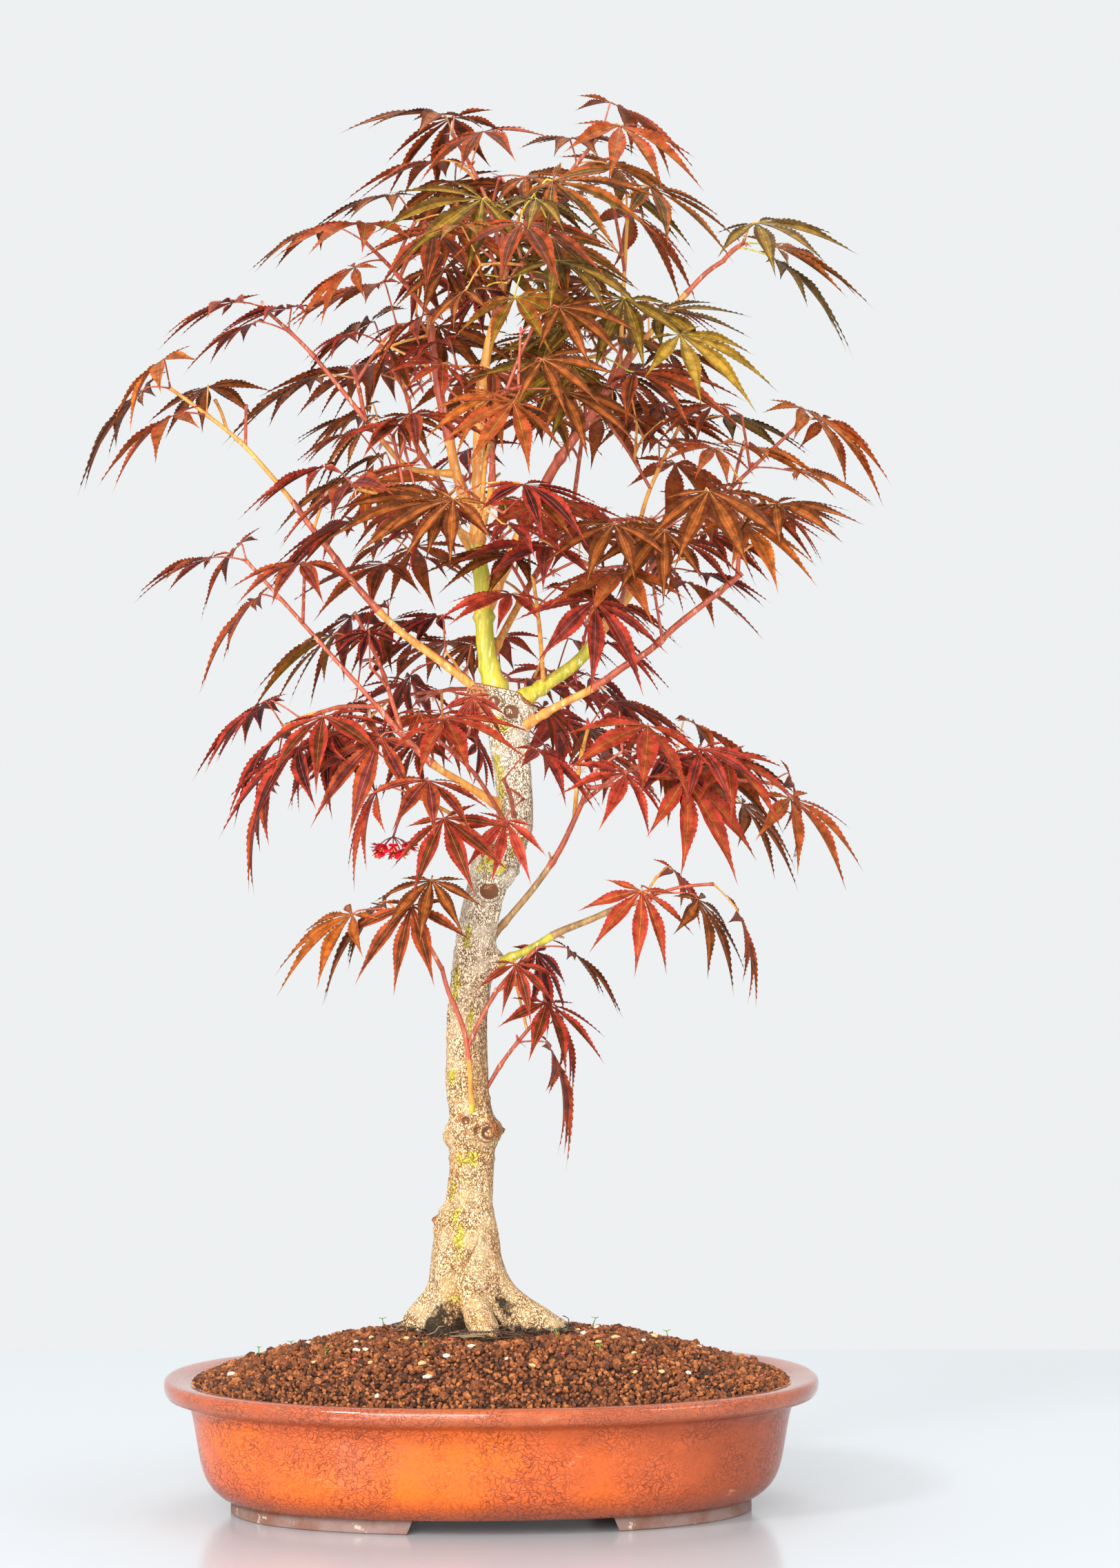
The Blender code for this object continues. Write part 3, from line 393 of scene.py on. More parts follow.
TINTS = {
    "copper": (("copper", "brick", "rib"), ("bronze", "copper", "rib"), ("copper", "bronze", "rib")),
    "bronze": (
        ("bronze", "brick", "rib"),
        ("bronze", "bronze_dark", "rib"),
        ("bronze_dark", "brick", "rib_red"),
    ),
    "plum": (
        ("plum", "brick", "rib_red"),
        ("bronze_dark", "crimson", "rib_red"),
        ("plum_dark", "crimson", "rib_red"),
    ),
    "crimson": (
        ("crimson", "scarlet", "rib_red"),
        ("plum", "crimson", "rib_red"),
        ("brick", "crimson", "rib"),
    ),
    "olive": (
        ("olive", "olive_dark", "rib_green"),
        ("olive_dark", "bronze", "rib"),
        ("olive", "bronze", "rib_green"),
    ),
    "gold": (("gold", "olive", "rib_green"), ("olive", "bronze", "rib_green")),
}
MAIN_TINT_SHARE = 0.78
TWIG_BARKS = ("red", "orange", "green")
RED_TWIG_SHARE = 0.75
STALK_BARKS = {
    "copper": (0, 1),
    "bronze": (0, 1),
    "plum": (0,),
    "crimson": (0,),
    "olive": (1, 2),
    "gold": (2, 1),
}

# Finer growth of each spray and limb: its tints, how many twigs, which piece it joins and its seed
FINE_TRIES = 8
FINE_PLACE = (0.3, 0.97)
FINE_LENGTH = (12.0, 42.0)
FINE_RADIUS = (0.95, 0.8)
FINE_LEAF = (0.6, 0.95)
SCALE_SHARE = 0.4
SCALE_PINK = (0.62, 0.10, 0.10)
SCALE_PALE = (0.80, 0.50, 0.38)
Dress = namedtuple("Dress", "tint others twigs group seed")
DRESS = {
    "leaves_top_right": Dress("bronze", ("copper", "olive"), 1, "top", 106),
    "leaves_top_left": Dress("bronze", ("plum", "olive"), 1, "top", 146),
    "leaves_upper_front": Dress("olive", ("bronze", "plum"), 4, "top", 117),
    "leaves_upper_back": Dress("olive", ("bronze",), 7, "top", 14),
    "leaves_upper_left": Dress("bronze", ("copper", "plum"), 1, "top", 99),
    "leaves_right_upper": Dress("olive", ("bronze", "gold"), 2, "top", 144),
    "leaves_upper_right": Dress("olive", ("gold", "bronze"), 1, "top", 46),
    "leaves_right_top": Dress("olive", ("bronze", "copper"), 0, "top", 170),
    "leaves_left_top": Dress("plum", ("bronze",), 0, "middle", 170),
    "leaves_left_centre": Dress("bronze", ("plum",), 1, "middle", 68),
    "leaves_left_far": Dress("bronze", ("plum", "copper"), 0, "middle", 1),
    "leaves_front_centre": Dress("bronze", ("crimson", "plum"), 1, "middle", 117),
    "leaves_centre": Dress("bronze", ("copper",), 1, "middle", 67),
    "leaves_left_inner": Dress("plum", ("bronze",), 1, "middle", 84),
    "leaves_left_low": Dress("plum", ("crimson", "bronze"), 1, "low", 128),
    "leaves_left_mid_outer": Dress("plum", ("bronze",), 0, "middle", 1),
    "leaves_left_mid_inner": Dress("plum", ("bronze", "olive"), 1, "middle", 1),
    "leaves_left_front_upper": Dress("crimson", ("plum",), 1, "low", 127),
    "leaves_left_front_low": Dress("crimson", ("plum",), 0, "low", 1),
    "leaves_trunk_front": Dress("crimson", ("bronze",), 1, "low", 112),
    "leaves_low_left": Dress("bronze", ("copper", "olive"), 1, "low", 131),
    "leaves_low_right": Dress("plum", ("bronze",), 1, "low", 29),
    "leaves_low_right_upper": Dress("bronze", ("plum",), 1, "low", 153),
    "leaves_right_low": Dress("bronze", ("crimson",), 1, "low", 156),
    "leaves_right_low_inner": Dress("crimson", ("bronze", "plum"), 2, "low", 155),
    "leaves_right_low_outer": Dress("bronze", ("crimson", "plum"), 2, "low", 168),
    "leaves_mid_right_back": Dress("plum", ("bronze",), 2, "low", 39),
    "leaves_right_outer": Dress("bronze", ("copper", "plum"), 3, "middle", 106),
    "leaves_centre_right_front": Dress("crimson", ("bronze",), 1, "middle", 65),
    "leaves_right_mid": Dress("copper", ("bronze",), 2, "middle", 120),
    "leaves_right_mid_inner": Dress("bronze", ("olive",), 2, "middle", 58),
    "leaves_centre_twig": Dress("bronze", ("crimson",), 1, "middle", 78),
    "leaves_left_mid_back": Dress("plum", ("bronze",), 4, "back", 153),
    "leaves_back_left_upper": Dress("bronze", ("plum", "olive"), 5, "back", 145),
    "leaves_back_left": Dress("bronze", ("plum",), 5, "back", 67),
    "leaves_back_right_upper": Dress("bronze", ("olive",), 5, "back", 1),
    "leaves_back_right": Dress("plum", ("bronze",), 5, "back", 40),
    "leaves_back_low_left": Dress("crimson", ("plum",), 4, "back", 104),
    "leaves_back_low_right": Dress("crimson", ("bronze",), 4, "back", 115),
    "leader": Dress("olive", ("bronze", "copper"), 1, "top", 140),
    "bough_top_left": Dress("bronze", ("plum",), 4, "top", 30),
    "bough_right_upper": Dress("bronze", ("olive", "gold"), 3, "top", 7),
    "bough_front": Dress("bronze", ("crimson",), 2, "middle", 70),
    "bough_right_main": Dress("plum", ("bronze",), 1, "middle", 48),
    "bough_right_outer": Dress("bronze", ("plum",), 1, "middle", 59),
    "bough_left_low": Dress("bronze", ("plum",), 1, "middle", 131),
    "bough_left_upper": Dress("bronze", ("plum",), 1, "middle", 52),
    "bough_back_left": Dress("bronze", ("plum",), 5, "back", 60),
    "bough_back_right": Dress("bronze", ("plum",), 5, "back", 101),
    "bough_back_low": Dress("plum", ("crimson",), 4, "back", 126),
}

# Flowers
FLOWERS_SHOWN = 14
FLOWER_COLOURS = {
    "flower_stalk": (0.22, 0.04, 0.035),
    "petal": (0.80, 0.016, 0.040),
    "stamen": (0.60, 0.30, 0.06),
}

# View, table and light: each light's place in metres, size and power
CAMERA_YAW = math.radians(-4.0)
CAMERA_DISTANCE = 2600.0
CAMERA_HEIGHT = 443.5
CAMERA_OFFSET = 41.8
CAMERA_LENS = 97.44
TABLE_SIDE = 6000.0
TABLE_BACK = 729.0
TABLE_COLOUR = (0.57, 0.60, 0.63)
AIR_COLOUR = (0.855, 0.872, 0.88)
AIR_STRENGTH = 1.0
LIT_POINT = (0.0, 0.0, 0.45)
LIGHTS = {
    "window_left": ((-1.7, -2.1, 1.7), 0.5, 52.0),
    "fill_right": ((1.9, -1.4, 1.2), 1.2, 14.0),
    "front": ((-0.7, -2.6, 0.85), 1.5, 68.0),
    "top": ((0.2, 0.5, 2.4), 1.2, 16.0),
}

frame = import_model()
REACH = [list(corner / METRES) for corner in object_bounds()]


def turns(count):
    """The angles that go round a circle in even steps."""
    return [2.0 * math.pi * i / count for i in range(count)]


def bell(away):
    """A soft bump: 1 in its middle, fading to 0 as the place moves away."""
    return math.exp(-(away**2))


def loft(rings):
    """A closed skin over rings of equal count, with a fan over each end."""
    points = [point for ring in rings for point in ring]
    count = len(rings[0])
    faces = []
    for low in range(0, len(points) - count, count):
        for side in range(count):
            after = (side + 1) % count
            faces.append((low + side, low + after, low + count + after, low + count + side))
    for ring, turned in ((0, True), (len(rings) - 1, False)):
        points.append(sum((Vector(point) for point in rings[ring]), Vector()) / count)
        for side in range(count):
            edge = [ring * count + side, ring * count + (side + 1) % count]
            faces.append((*(reversed(edge) if turned else edge), len(points) - 1))
    return points, faces


def oval_point(inset, height, angle):
    """A point of the pot's oval, drawn in from the rim by an inset at the two ends."""
    along, across = math.cos(angle), math.sin(angle)
    x = math.copysign(abs(along) ** (2.0 / OVAL_POWER), along) * (POT_HALF_LENGTH - inset)
    y = math.copysign(abs(across) ** (2.0 / OVAL_POWER), across)
    return x, y * (POT_HALF_WIDTH - WIDTH_SLOPE * inset), height


def oval(inset, height, sides):
    return [oval_point(inset, height, angle) for angle in turns(sides)]


def oval_level(x, y, half_x, half_y):
    """How far out a place lies in an oval: 0 in its middle and 1 on its rim."""
    return abs(x / half_x) ** OVAL_POWER + abs(y / half_y) ** OVAL_POWER


def soil_height(x, y):
    """The mound's height: flat under the trunk, falling to the inner edge of the lip."""
    flat = math.hypot(x / SOIL_FLAT_LENGTH, y / SOIL_FLAT_WIDTH)
    if flat <= 1.0:
        return SOIL_TOP
    half_y = POT_HALF_WIDTH - WIDTH_SLOPE * SOIL_EDGE_INSET
    edge = oval_level(x, y, POT_HALF_LENGTH - SOIL_EDGE_INSET, half_y) ** (1.0 / OVAL_POWER)
    share = min((flat - 1.0) / max(flat / max(edge, 1e-6) - 1.0, 1e-6), 1.0)
    bump = SOIL_BUMP * noise.noise(Vector((x, y, 0.0)) / SOIL_BUMP_WIDTH)
    fall = (SOIL_EDGE_HEIGHT - SOIL_TOP) * share**SOIL_FALL_POWER
    return SOIL_TOP + fall + bump * share * (1.0 - share) * 3.0


def catmull(before, start, end, after, share):
    """A point between start and end on the smooth curve through all four."""
    square, cube = share * share, share**3
    return 0.5 * (
        2.0 * start
        + (end - before) * share
        + (2.0 * before - 5.0 * start + 4.0 * end - after) * square
        + (3.0 * start - before - 3.0 * end + after) * cube
    )


def four_round(line, row):
    """The four stations round a stretch of a line, for the curve through them."""
    return [line[min(max(row + step, 0), len(line) - 1)] for step in (-1, 0, 1, 2)]


def trunk_at(height):
    """The trunk's centre and plain radius at a height."""
    line = TRUNK_LINE
    height = min(max(height, line[0].height), line[-1].height)
    row = next(i for i in range(len(line) - 1) if height <= line[i + 1].height)
    share = (height - line[row].height) / (line[row + 1].height - line[row].height)
    four = four_round(line, row)
    x, y, radius = (catmull(*(station[i] for station in four), share) for i in (1, 2, 3))
    return Vector((x, y, height)), radius


def turn_between(one, other):
    return abs((one - other + 180.0) % 360.0 - 180.0)


def away_from(mark, height, angle):
    """The square of how far a place on the trunk lies from a knot or mark, by the mark's own reach."""
    return ((height - mark.height) / mark.rise) ** 2 + (turn_between(angle, mark.angle) / mark.spread) ** 2


def trunk_radius(height, angle):
    """The trunk's radius at a height and angle, with its roots and knots."""
    flare = bell((height - TRUNK_LINE[0].height) / FLARE_HEIGHT)
    radius = trunk_at(height)[1]
    radius += flare * max(root.reach * bell(turn_between(angle, root.angle) / root.spread) for root in ROOTS)
    for knot in KNOTS:
        radius += knot.size * math.exp(-away_from(knot, height, angle))
    return radius


def frames(path):
    """A pair of directions across the path at each of its points, turned as little as can be."""
    found = []
    across = None
    for i in range(len(path)):
        forward = (path[min(i + 1, len(path) - 1)] - path[max(i - 1, 0)]).normalized()
        if across is None:
            across = forward.cross(Vector((0.3, 1.0, 0.2))).normalized()
        across = (across - forward * across.dot(forward)).normalized()
        found.append((across, forward.cross(across)))
    return found


def tube(path, radii, sides, grow=0.0):
    """A closed tube along a path, thicker and longer by an amount to grow."""
    path = [Vector(point) for point in path]
    if grow:
        path[0] = path[0] + (path[0] - path[1]).normalized() * grow
        path[-1] = path[-1] + (path[-1] - path[-2]).normalized() * grow
    wider = grow / math.cos(math.pi / sides)
    rings = []
    for point, radius, (across, upward) in zip(path, radii, frames(path)):
        ways = [across * math.cos(angle) + upward * math.sin(angle) for angle in turns(sides)]
        rings.append([point + way * (radius + wider) for way in ways])
    return loft(rings)


def smooth_path(points, step):
    """Points along the smooth curve through the given ones, about a step apart."""
    points = [Vector(point) for point in points]
    path = [points[0]]
    for i in range(len(points) - 1):
        four = four_round(points, i)
        count = max(1, round((points[i + 1] - points[i]).length / step))
        path += [catmull(*four, k / count) for k in range(1, count + 1)]
    return path


def lengths_of(path):
    return [(end - start).length for start, end in zip(path, path[1:])]


def point_along(path, share):
    """The point a share of the way along a path, and the path's direction there."""
    lengths = lengths_of(path)
    left = share * sum(lengths)
    for start, end, length in zip(path, path[1:], lengths):
        if left <= length:
            return start.lerp(end, left / length), (end - start).normalized()
        left -= length
    return path[-1].copy(), (path[-1] - path[-2]).normalized()


def limb_path(name):
    """The limb's centre line, from inside its parent to its tip, a little crooked."""
    limb = LIMBS[name]
    rng = random.Random(name)
    path = smooth_path([place_on(limb.parent, limb.place), *limb.points], LIMB_RING_STEP)
    for point in path[2:-1]:
        point += shake(rng, LIMB_WANDER)
    return path


def shake(rng, most):
    return Vector([rng.uniform(-most, most) for _ in range(3)])


def place_on(parent, place):
    if parent == "trunk":
        return trunk_at(place)[0]
    return point_along(limb_path(parent), place)[0]


def tapered(path, base, tip):
    gone = [0.0]
    for length in lengths_of(path):
        gone.append(gone[-1] + length)
    return [base + (tip - base) * length / gone[-1] for length in gone]


Twig = namedtuple("Twig", "path radii")
Leaf = namedtuple("Leaf", "root base along normal length")


def stem_of(name):
    """The spray's stem, from inside its parent to its tip, with a slight arch."""
    spray = SPRAYS[name]
    rng = random.Random(f"{name} stem")
    start, tip = place_on(spray.parent, spray.place), Vector(spray.tip)
    reach = (tip - start).length
    bend = start.lerp(tip, 0.5) + UP * reach * rng.uniform(0.02, 0.07)
    bend += Vector((rng.uniform(-1, 1), rng.uniform(-1, 1), 0.0)) * reach * 0.05
    path = smooth_path([start, bend, tip], STEM_RING_STEP)
    return Twig(path, tapered(path, STEM_RADIUS, STEM_TIP_RADIUS))


def around(forward, angle):
    """A direction across a twig, at an angle about it from level."""
    level = forward.cross(UP)
    if level.length < 0.1:
        level = Vector((1.0, 0.0, 0.0))
    return Matrix.Rotation(angle, 3, forward) @ level.normalized()


def leaf_from(node, forward, angle, rng):
    """A leaf on its stalk, pointing outward with its face up. The lower it grows, the more it hangs."""
    stalk = (around(forward, angle) * 0.8 + forward * 0.5 + UP * 0.15).normalized()
    base = node + stalk * rng.uniform(*STALK_LENGTH)
    outward = Vector((base.x, base.y, 0.0)).normalized()
    level = Vector((stalk.x, stalk.y, 0.0)) * 1.2 + outward * 0.6
    level += Vector((rng.uniform(-0.5, 0.5), rng.uniform(-0.5, 0.5), 0.0))
    level_share = min(max((base.z - HANGING_BELOW) / (LEVEL_ABOVE - HANGING_BELOW), 0.0), 1.0)
    least, most = [low + (high - low) * level_share for low, high in zip(HANGING_FALL, LEVEL_FALL)]
    fall = math.radians(rng.uniform(least, most))
    along = level.normalized() * math.cos(fall) - UP * math.sin(fall)
    light = UP * 1.05 + FRONT * 0.16 + outward * 0.26
    light += shake(rng, 0.34)
    normal = (light - along * light.dot(along)).normalized()
    return Leaf(node, base, along, normal, rng.uniform(*LEAF_LENGTH))


def middle_of(leaf):
    return leaf.base + leaf.along * leaf.length * LEAF_MIDDLE


def tip_of(leaf):
    return leaf.base + leaf.along * leaf.length


def leaf_outline(length):
    """The rim of a leaf in its own plane, round from beside the stalk to the stalk again."""
    rim = []
    for i, (angle, share) in enumerate(ALL_LOBES):
        lead = ALL_LOBES[i - 1][0] if i else -150.0
        rim.append(((angle + lead) / 2.0 if i else lead, VALLEY_SHARE * (1.0 if i else 0.5)))
        rim.append((angle, share))
    rim.append((150.0, VALLEY_SHARE * 0.5))
    return [(math.radians(angle), share * length) for angle, share in rim]


def leaf_shape(leaf, grow=0.0):
    """A closed leaf: a thin seven-lobed blade, thickest in the middle, with its bent stalk."""
    side = leaf.normal.cross(leaf.along)
    middle = middle_of(leaf)
    points = []
    for angle, reach in leaf_outline(leaf.length):
        reach += grow
        drop = LEAF_DROOP * reach * reach / leaf.length
        way = leaf.along * math.cos(angle) + side * math.sin(angle)
        points.append(middle + way * reach - leaf.normal * drop)
    half = LEAF_THICKNESS / 2.0 + grow
    top, bottom = len(points), len(points) + 1
    points += [middle + leaf.normal * half, middle - leaf.normal * half]
    faces = []
    for i in range(top - 1):
        faces += [(top, i, i + 1), (bottom, i + 1, i)]
    elbow = middle - leaf.along * STALK_ELBOW
    stalk = (elbow - leaf.root).normalized()
    rings = [[top, top - 1, bottom, 0]]
    for place, forward in ((elbow, (stalk + leaf.along).normalized()), (leaf.root, stalk)):
        across = leaf.normal.cross(forward).normalized()
        lift = forward.cross(across)
        rings.append([len(points) + i for i in range(4)])
        points += [place + way * (STALK_RADIUS + grow) for way in (lift, across, -lift, -across)]
    for near, far in zip(rings, rings[1:]):
        for i in range(4):
            after = (i + 1) % 4
            faces += [(near[i], near[after], far[after]), (near[i], far[after], far[i])]
    end = rings[-1][0]
    faces += [(end, end + 1, end + 2), (end, end + 2, end + 3)]
    return points, faces


def tree_of(shape):
    """A shape's search tree and the box round it."""
    points, faces = shape
    box = [[least(point[i] for point in points) for i in range(3)] for least in (min, max)]
    return BVHTree.FromPolygons([Vector(point) for point in points], faces), box


def touches(shape, others):
    """Whether a shape meets any of the others, which are kept as (tree, box)."""
    tree, (low, high) = tree_of(shape)
    for other, (other_low, other_high) in others:
        if any(low[i] > other_high[i] or high[i] < other_low[i] for i in range(3)):
            continue
        if tree.overlap(other):
            return True
    return False


def clear_of(leaf, others):
    """Whether a leaf meets none of the others with its blade and the outer part of its stalk."""
    return not touches(leaf_shape(leaf._replace(root=leaf.root.lerp(leaf.base, 0.4))), others)


def grow_spray(name, stem, others):
    """The spray's twigs and leaves. A shoot or leaf that touches anything is left out."""
    spray = SPRAYS[name]
    rng = random.Random(f"{name} {spray.seed}")
    twigs, leaves = [stem], []
    turn = rng.uniform(0.0, math.pi)
    nodes = []
    for pair in range(spray.pairs):
        node, forward = point_along(stem.path, 1.0 - pair * PAIR_SPACING)
        nodes.append((node, forward, turn + pair * math.pi / 2.0))
    for shoot in range(spray.shoots):
        for _ in range(LEAF_TRIES):
            place = SHOOT_PLACE - 0.17 * shoot + rng.uniform(-0.06, 0.06)
            start, forward = point_along(stem.path, place)
            away = around(forward, rng.uniform(0.0, 2.0 * math.pi))
            heading = (away + forward * 0.45 + UP * 0.3).normalized()
            end = start + heading * rng.uniform(*SHOOT_LENGTH)
            path = [start, start.lerp(end, 0.5) + UP * 2.0, end]
            twig = Twig(path, tapered(path, SHOOT_RADIUS, SHOOT_TIP_RADIUS))
            if not touches(tube(*twig, STEM_SIDES, CLEARANCE), others):
                twigs.append(twig)
                nodes.append((end, (path[2] - path[1]).normalized(), rng.uniform(0.0, math.pi)))
                break
    kept = []
    for node, forward, angle in nodes:
        for opposite in OPPOSITE:
            for _ in range(LEAF_TRIES):
                leaf = leaf_from(node, forward, angle + opposite + rng.uniform(-0.5, 0.5), rng)
                guard = leaf_shape(leaf, CLEARANCE)
                inside = (tip_of(leaf) - Vector(spray.tip)).length < SPRAY_REACH
                inside = inside and leaf.along.dot((leaf.base - leaf.root).normalized()) > LEAST_FORWARD
                if inside and not touches(guard, others) and clear_of(leaf, kept):
                    leaves.append(leaf)
                    kept.append(tree_of(guard))
                    break
    return twigs, leaves


class Heap:
    """The points, faces and material numbers of one joined piece."""

    def __init__(self):
        self.points, self.faces, self.slots = [], [], []

    def add(self, shape, slots=0):
        """Adds a shape, with one material number for all of it or one for each face."""
        points, faces = shape
        start = len(self.points)
        self.points += points
        self.faces += [[start + i for i in face] for face in faces]
        self.slots += [slots] * len(faces) if isinstance(slots, int) else slots
        return self


def new_mesh(name, points, faces):
    mesh = bpy.data.meshes.new(name)
    points = np.array([tuple(point) for point in points], float) * METRES
    mesh.from_pydata(points.tolist(), [], faces)
    return mesh


def new_object(name, data):
    made = bpy.data.objects.new(name, data)
    bpy.context.scene.collection.objects.link(made)
    return made


def make_piece(name, heap, materials, nodes=(), smooth=True):
    """A mesh object that rides on the one body and stands for the nodes it replaces."""
    mesh = new_mesh(name, heap.points, heap.faces)
    for made in materials:
        mesh.materials.append(made)
    mesh.polygons.foreach_set("material_index", heap.slots)
    mesh.polygons.foreach_set("use_smooth", [smooth] * len(heap.faces))
    mesh.validate()
    piece = new_object(name, mesh)
    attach(piece, "root")
    if nodes:
        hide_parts(*nodes)
    return piece


def new_material(name, colour, roughness, **sockets):
    made = bpy.data.materials.new(name)
    made.use_nodes = True
    shader = made.node_tree.nodes["Principled BSDF"]
    shader.inputs["Base Color"].default_value = (*colour, 1.0)
    shader.inputs["Roughness"].default_value = roughness
    for socket, value in sockets.items():
        shader.inputs[socket.replace("_", " ")].default_value = value
    return made


def plain_materials(colours, roughness):
    return [new_material(name, colour, roughness) for name, colour in colours.items()]


class Paint:
    """A material in the making, with the colour that its coats have come to so far."""

    def __init__(self, name, colour, roughness, **sockets):
        self.made = new_material(name, colour, roughness, **sockets)
        self.colour = colour

    def feed(self, socket, value):
        """Sets an input of a node, or joins another node's output to it."""
        if isinstance(value, bpy.types.NodeSocket):
            self.made.node_tree.links.new(value, socket)
        else:
            socket.default_value = value

    def node(self, kind, inputs, **settings):
        added = self.made.node_tree.nodes.new("ShaderNode" + kind)
        for key, value in settings.items():
            setattr(added, key, value)
        for key, value in inputs.items():
            self.feed(added.inputs[key], value)
        return added

    def place(self, along=1.0):
        """The place on the object, in metres, with its height stretched."""
        place = self.node("TexCoord", {}).outputs["Object"]
        return self.node("Mapping", {"Vector": place, "Scale": (1.0, 1.0, along)}).outputs["Vector"]

    def axes(self):
        return self.node("SeparateXYZ", {"Vector": self.place()}).outputs

    def noise(self, scale, detail=3.0, roughness=0.55, along=1.0):
        inputs = {"Scale": scale, "Detail": detail, "Roughness": roughness, "Vector": self.place(along)}
        return self.node("TexNoise", inputs).outputs["Fac"]

    def math(self, operation, first, second=0.5):
        return self.node("Math", {0: first, 1: second}, operation=operation).outputs[0]

    def ramp(self, value, *stops):
        """A value carried through a ramp of (place, level) stops."""
        ramp = self.node("ValToRGB", {"Fac": value})
        elements = ramp.color_ramp.elements
        while len(elements) < len(stops):
            elements.new(0.5)
        for element, (place, level) in zip(elements, stops):
            element.position = place
            element.color = (level, level, level, 1.0)
        return ramp.outputs["Color"]

    def mix(self, share, first, second):
        """One colour mixed into another by a share."""
        mix = self.node("Mix", {0: share}, data_type="RGBA")
        for socket, value in ((mix.inputs[6], first), (mix.inputs[7], second)):
            self.feed(socket, value if isinstance(value, bpy.types.NodeSocket) else (*value, 1.0))
        return mix.outputs[2]

    def coat(self, colour, value, *stops):
        """Lays a colour over what is there, by a value carried through a ramp."""
        self.colour = self.mix(self.ramp(value, *stops), self.colour, colour)

    def finish(self, height, depth):
        """Gives the material its colour, and relief whose full height is a depth in millimetres."""
        inputs = {"Height": height, "Distance": depth * METRES, "Strength": 1.0}
        shader = self.made.node_tree.nodes["Principled BSDF"]
        self.feed(shader.inputs["Base Color"], self.colour)
        self.feed(shader.inputs["Normal"], self.node("Bump", inputs).outputs["Normal"])
        return self.made


def glaze_material(name, light, dark, streak, wetness):
    """Orange-brown gloss glaze, crackled and browner round the foot, darker and browner to the right as
    painted shade on the side away from the light, with a band of painted shade under the lip and pale
    patches of painted highlight.
    """
    sockets = {"Specular_IOR_Level": 0.3, "Coat_Weight": wetness, "Coat_Roughness": 0.06}
    paint = Paint(name, light, 0.24, **sockets)
    axes = paint.axes()
    clouds = paint.noise(9.0, 4.0, 0.6, streak)
    # Cloudy mottling of the glaze, and darker to the right: painted shade on the side away from the light.
    mottle_and_right_shade = paint.math("ADD", clouds, paint.math("MULTIPLY", axes["X"], 1.6))
    paint.coat(GLAZE_BLUSH, paint.noise(13.0), (0.38, 0.0), (0.56, 0.85))
    paint.coat(dark, mottle_and_right_shade, (0.56, 0.0), (0.84, 1.0))
    paint.coat(GLAZE_BROWN, paint.noise(30.0, 5.0, 0.7, streak), (0.5, 0.0), (0.68, 0.45))
    # Pale patches: painted highlights on the glaze.
    paint.coat(GLAZE_PAINTED_HIGHLIGHT, paint.noise(21.0, 4.0, 0.65, 2.0), (0.65, 0.0), (0.70, 0.6))
    # Browner towards the foot. From just under the lip upward it is browner again: on the body a band of
    # painted shade under the lip's overhang, on the lip its own browner tone.
    level = paint.math("MULTIPLY", axes["Z"], 10.0)
    paint.coat(GLAZE_BROWN, level, (0.08, 0.85), (0.26, 0.0), (0.66, 0.0), (0.70, 0.7))
    mottle = paint.noise(420.0, 3.0, 0.6)
    paint.coat(GLAZE_BROWN, mottle, (0.47, 0.0), (0.7, 0.3))
    wander = paint.node("TexNoise", {"Vector": paint.place(), "Scale": 90.0}).outputs["Color"]
    bent = paint.node("Mix", {0: 0.018, 4: paint.place(), 5: wander}, data_type="VECTOR").outputs[1]
    longer = paint.node("Mapping", {"Vector": bent, "Scale": (1.0, 1.0, 1.7)}).outputs["Vector"]
    inputs = {"Vector": longer, "Scale": 230.0}
    cells = paint.node("TexVoronoi", inputs, feature="DISTANCE_TO_EDGE").outputs["Distance"]
    crackled = paint.ramp(paint.noise(28.0), (0.36, 0.2), (0.56, 0.9))
    cracks = paint.math("MULTIPLY", paint.ramp(cells, (0.0, 1.0), (0.1, 0.0)), crackled)
    paint.colour = paint.mix(cracks, paint.colour, GLAZE_CRACK)
    return paint.finish(paint.math("SUBTRACT", paint.math("MULTIPLY", mottle, 0.35), cracks), 0.25)


def foot_material():
    """Bare grey-brown clay with worn pale edges, and the glaze's last runs along its top."""
    paint = Paint("foot_clay", FOOT_GREY, 0.6)
    stain = paint.noise(45.0, 5.0, 0.7)
    chips = paint.noise(120.0, 4.0, 0.7)
    drip = paint.math("MULTIPLY", paint.axes()["Z"], 60.0)
    drip = paint.math("ADD", drip, paint.math("MULTIPLY", stain, 0.5))
    paint.coat(FOOT_BROWN, stain, (0.42, 0.0), (0.62, 0.8))
    paint.coat(FOOT_PALE, chips, (0.60, 0.0), (0.65, 0.85))
    paint.coat(GLAZE_RED, drip, (0.76, 0.0), (0.82, 0.9))
    return paint.finish(chips, 0.5)


def clay_material(name, light, dark):
    """A soil grain: dull baked clay, a little uneven in colour."""
    paint = Paint(name, light, 0.85)
    paint.colour = dark
    grain = paint.noise(600.0, 3.0, 0.7)
    paint.coat(light, grain, (0.35, 0.0), (0.65, 1.0))
    return paint.finish(grain, 0.6)


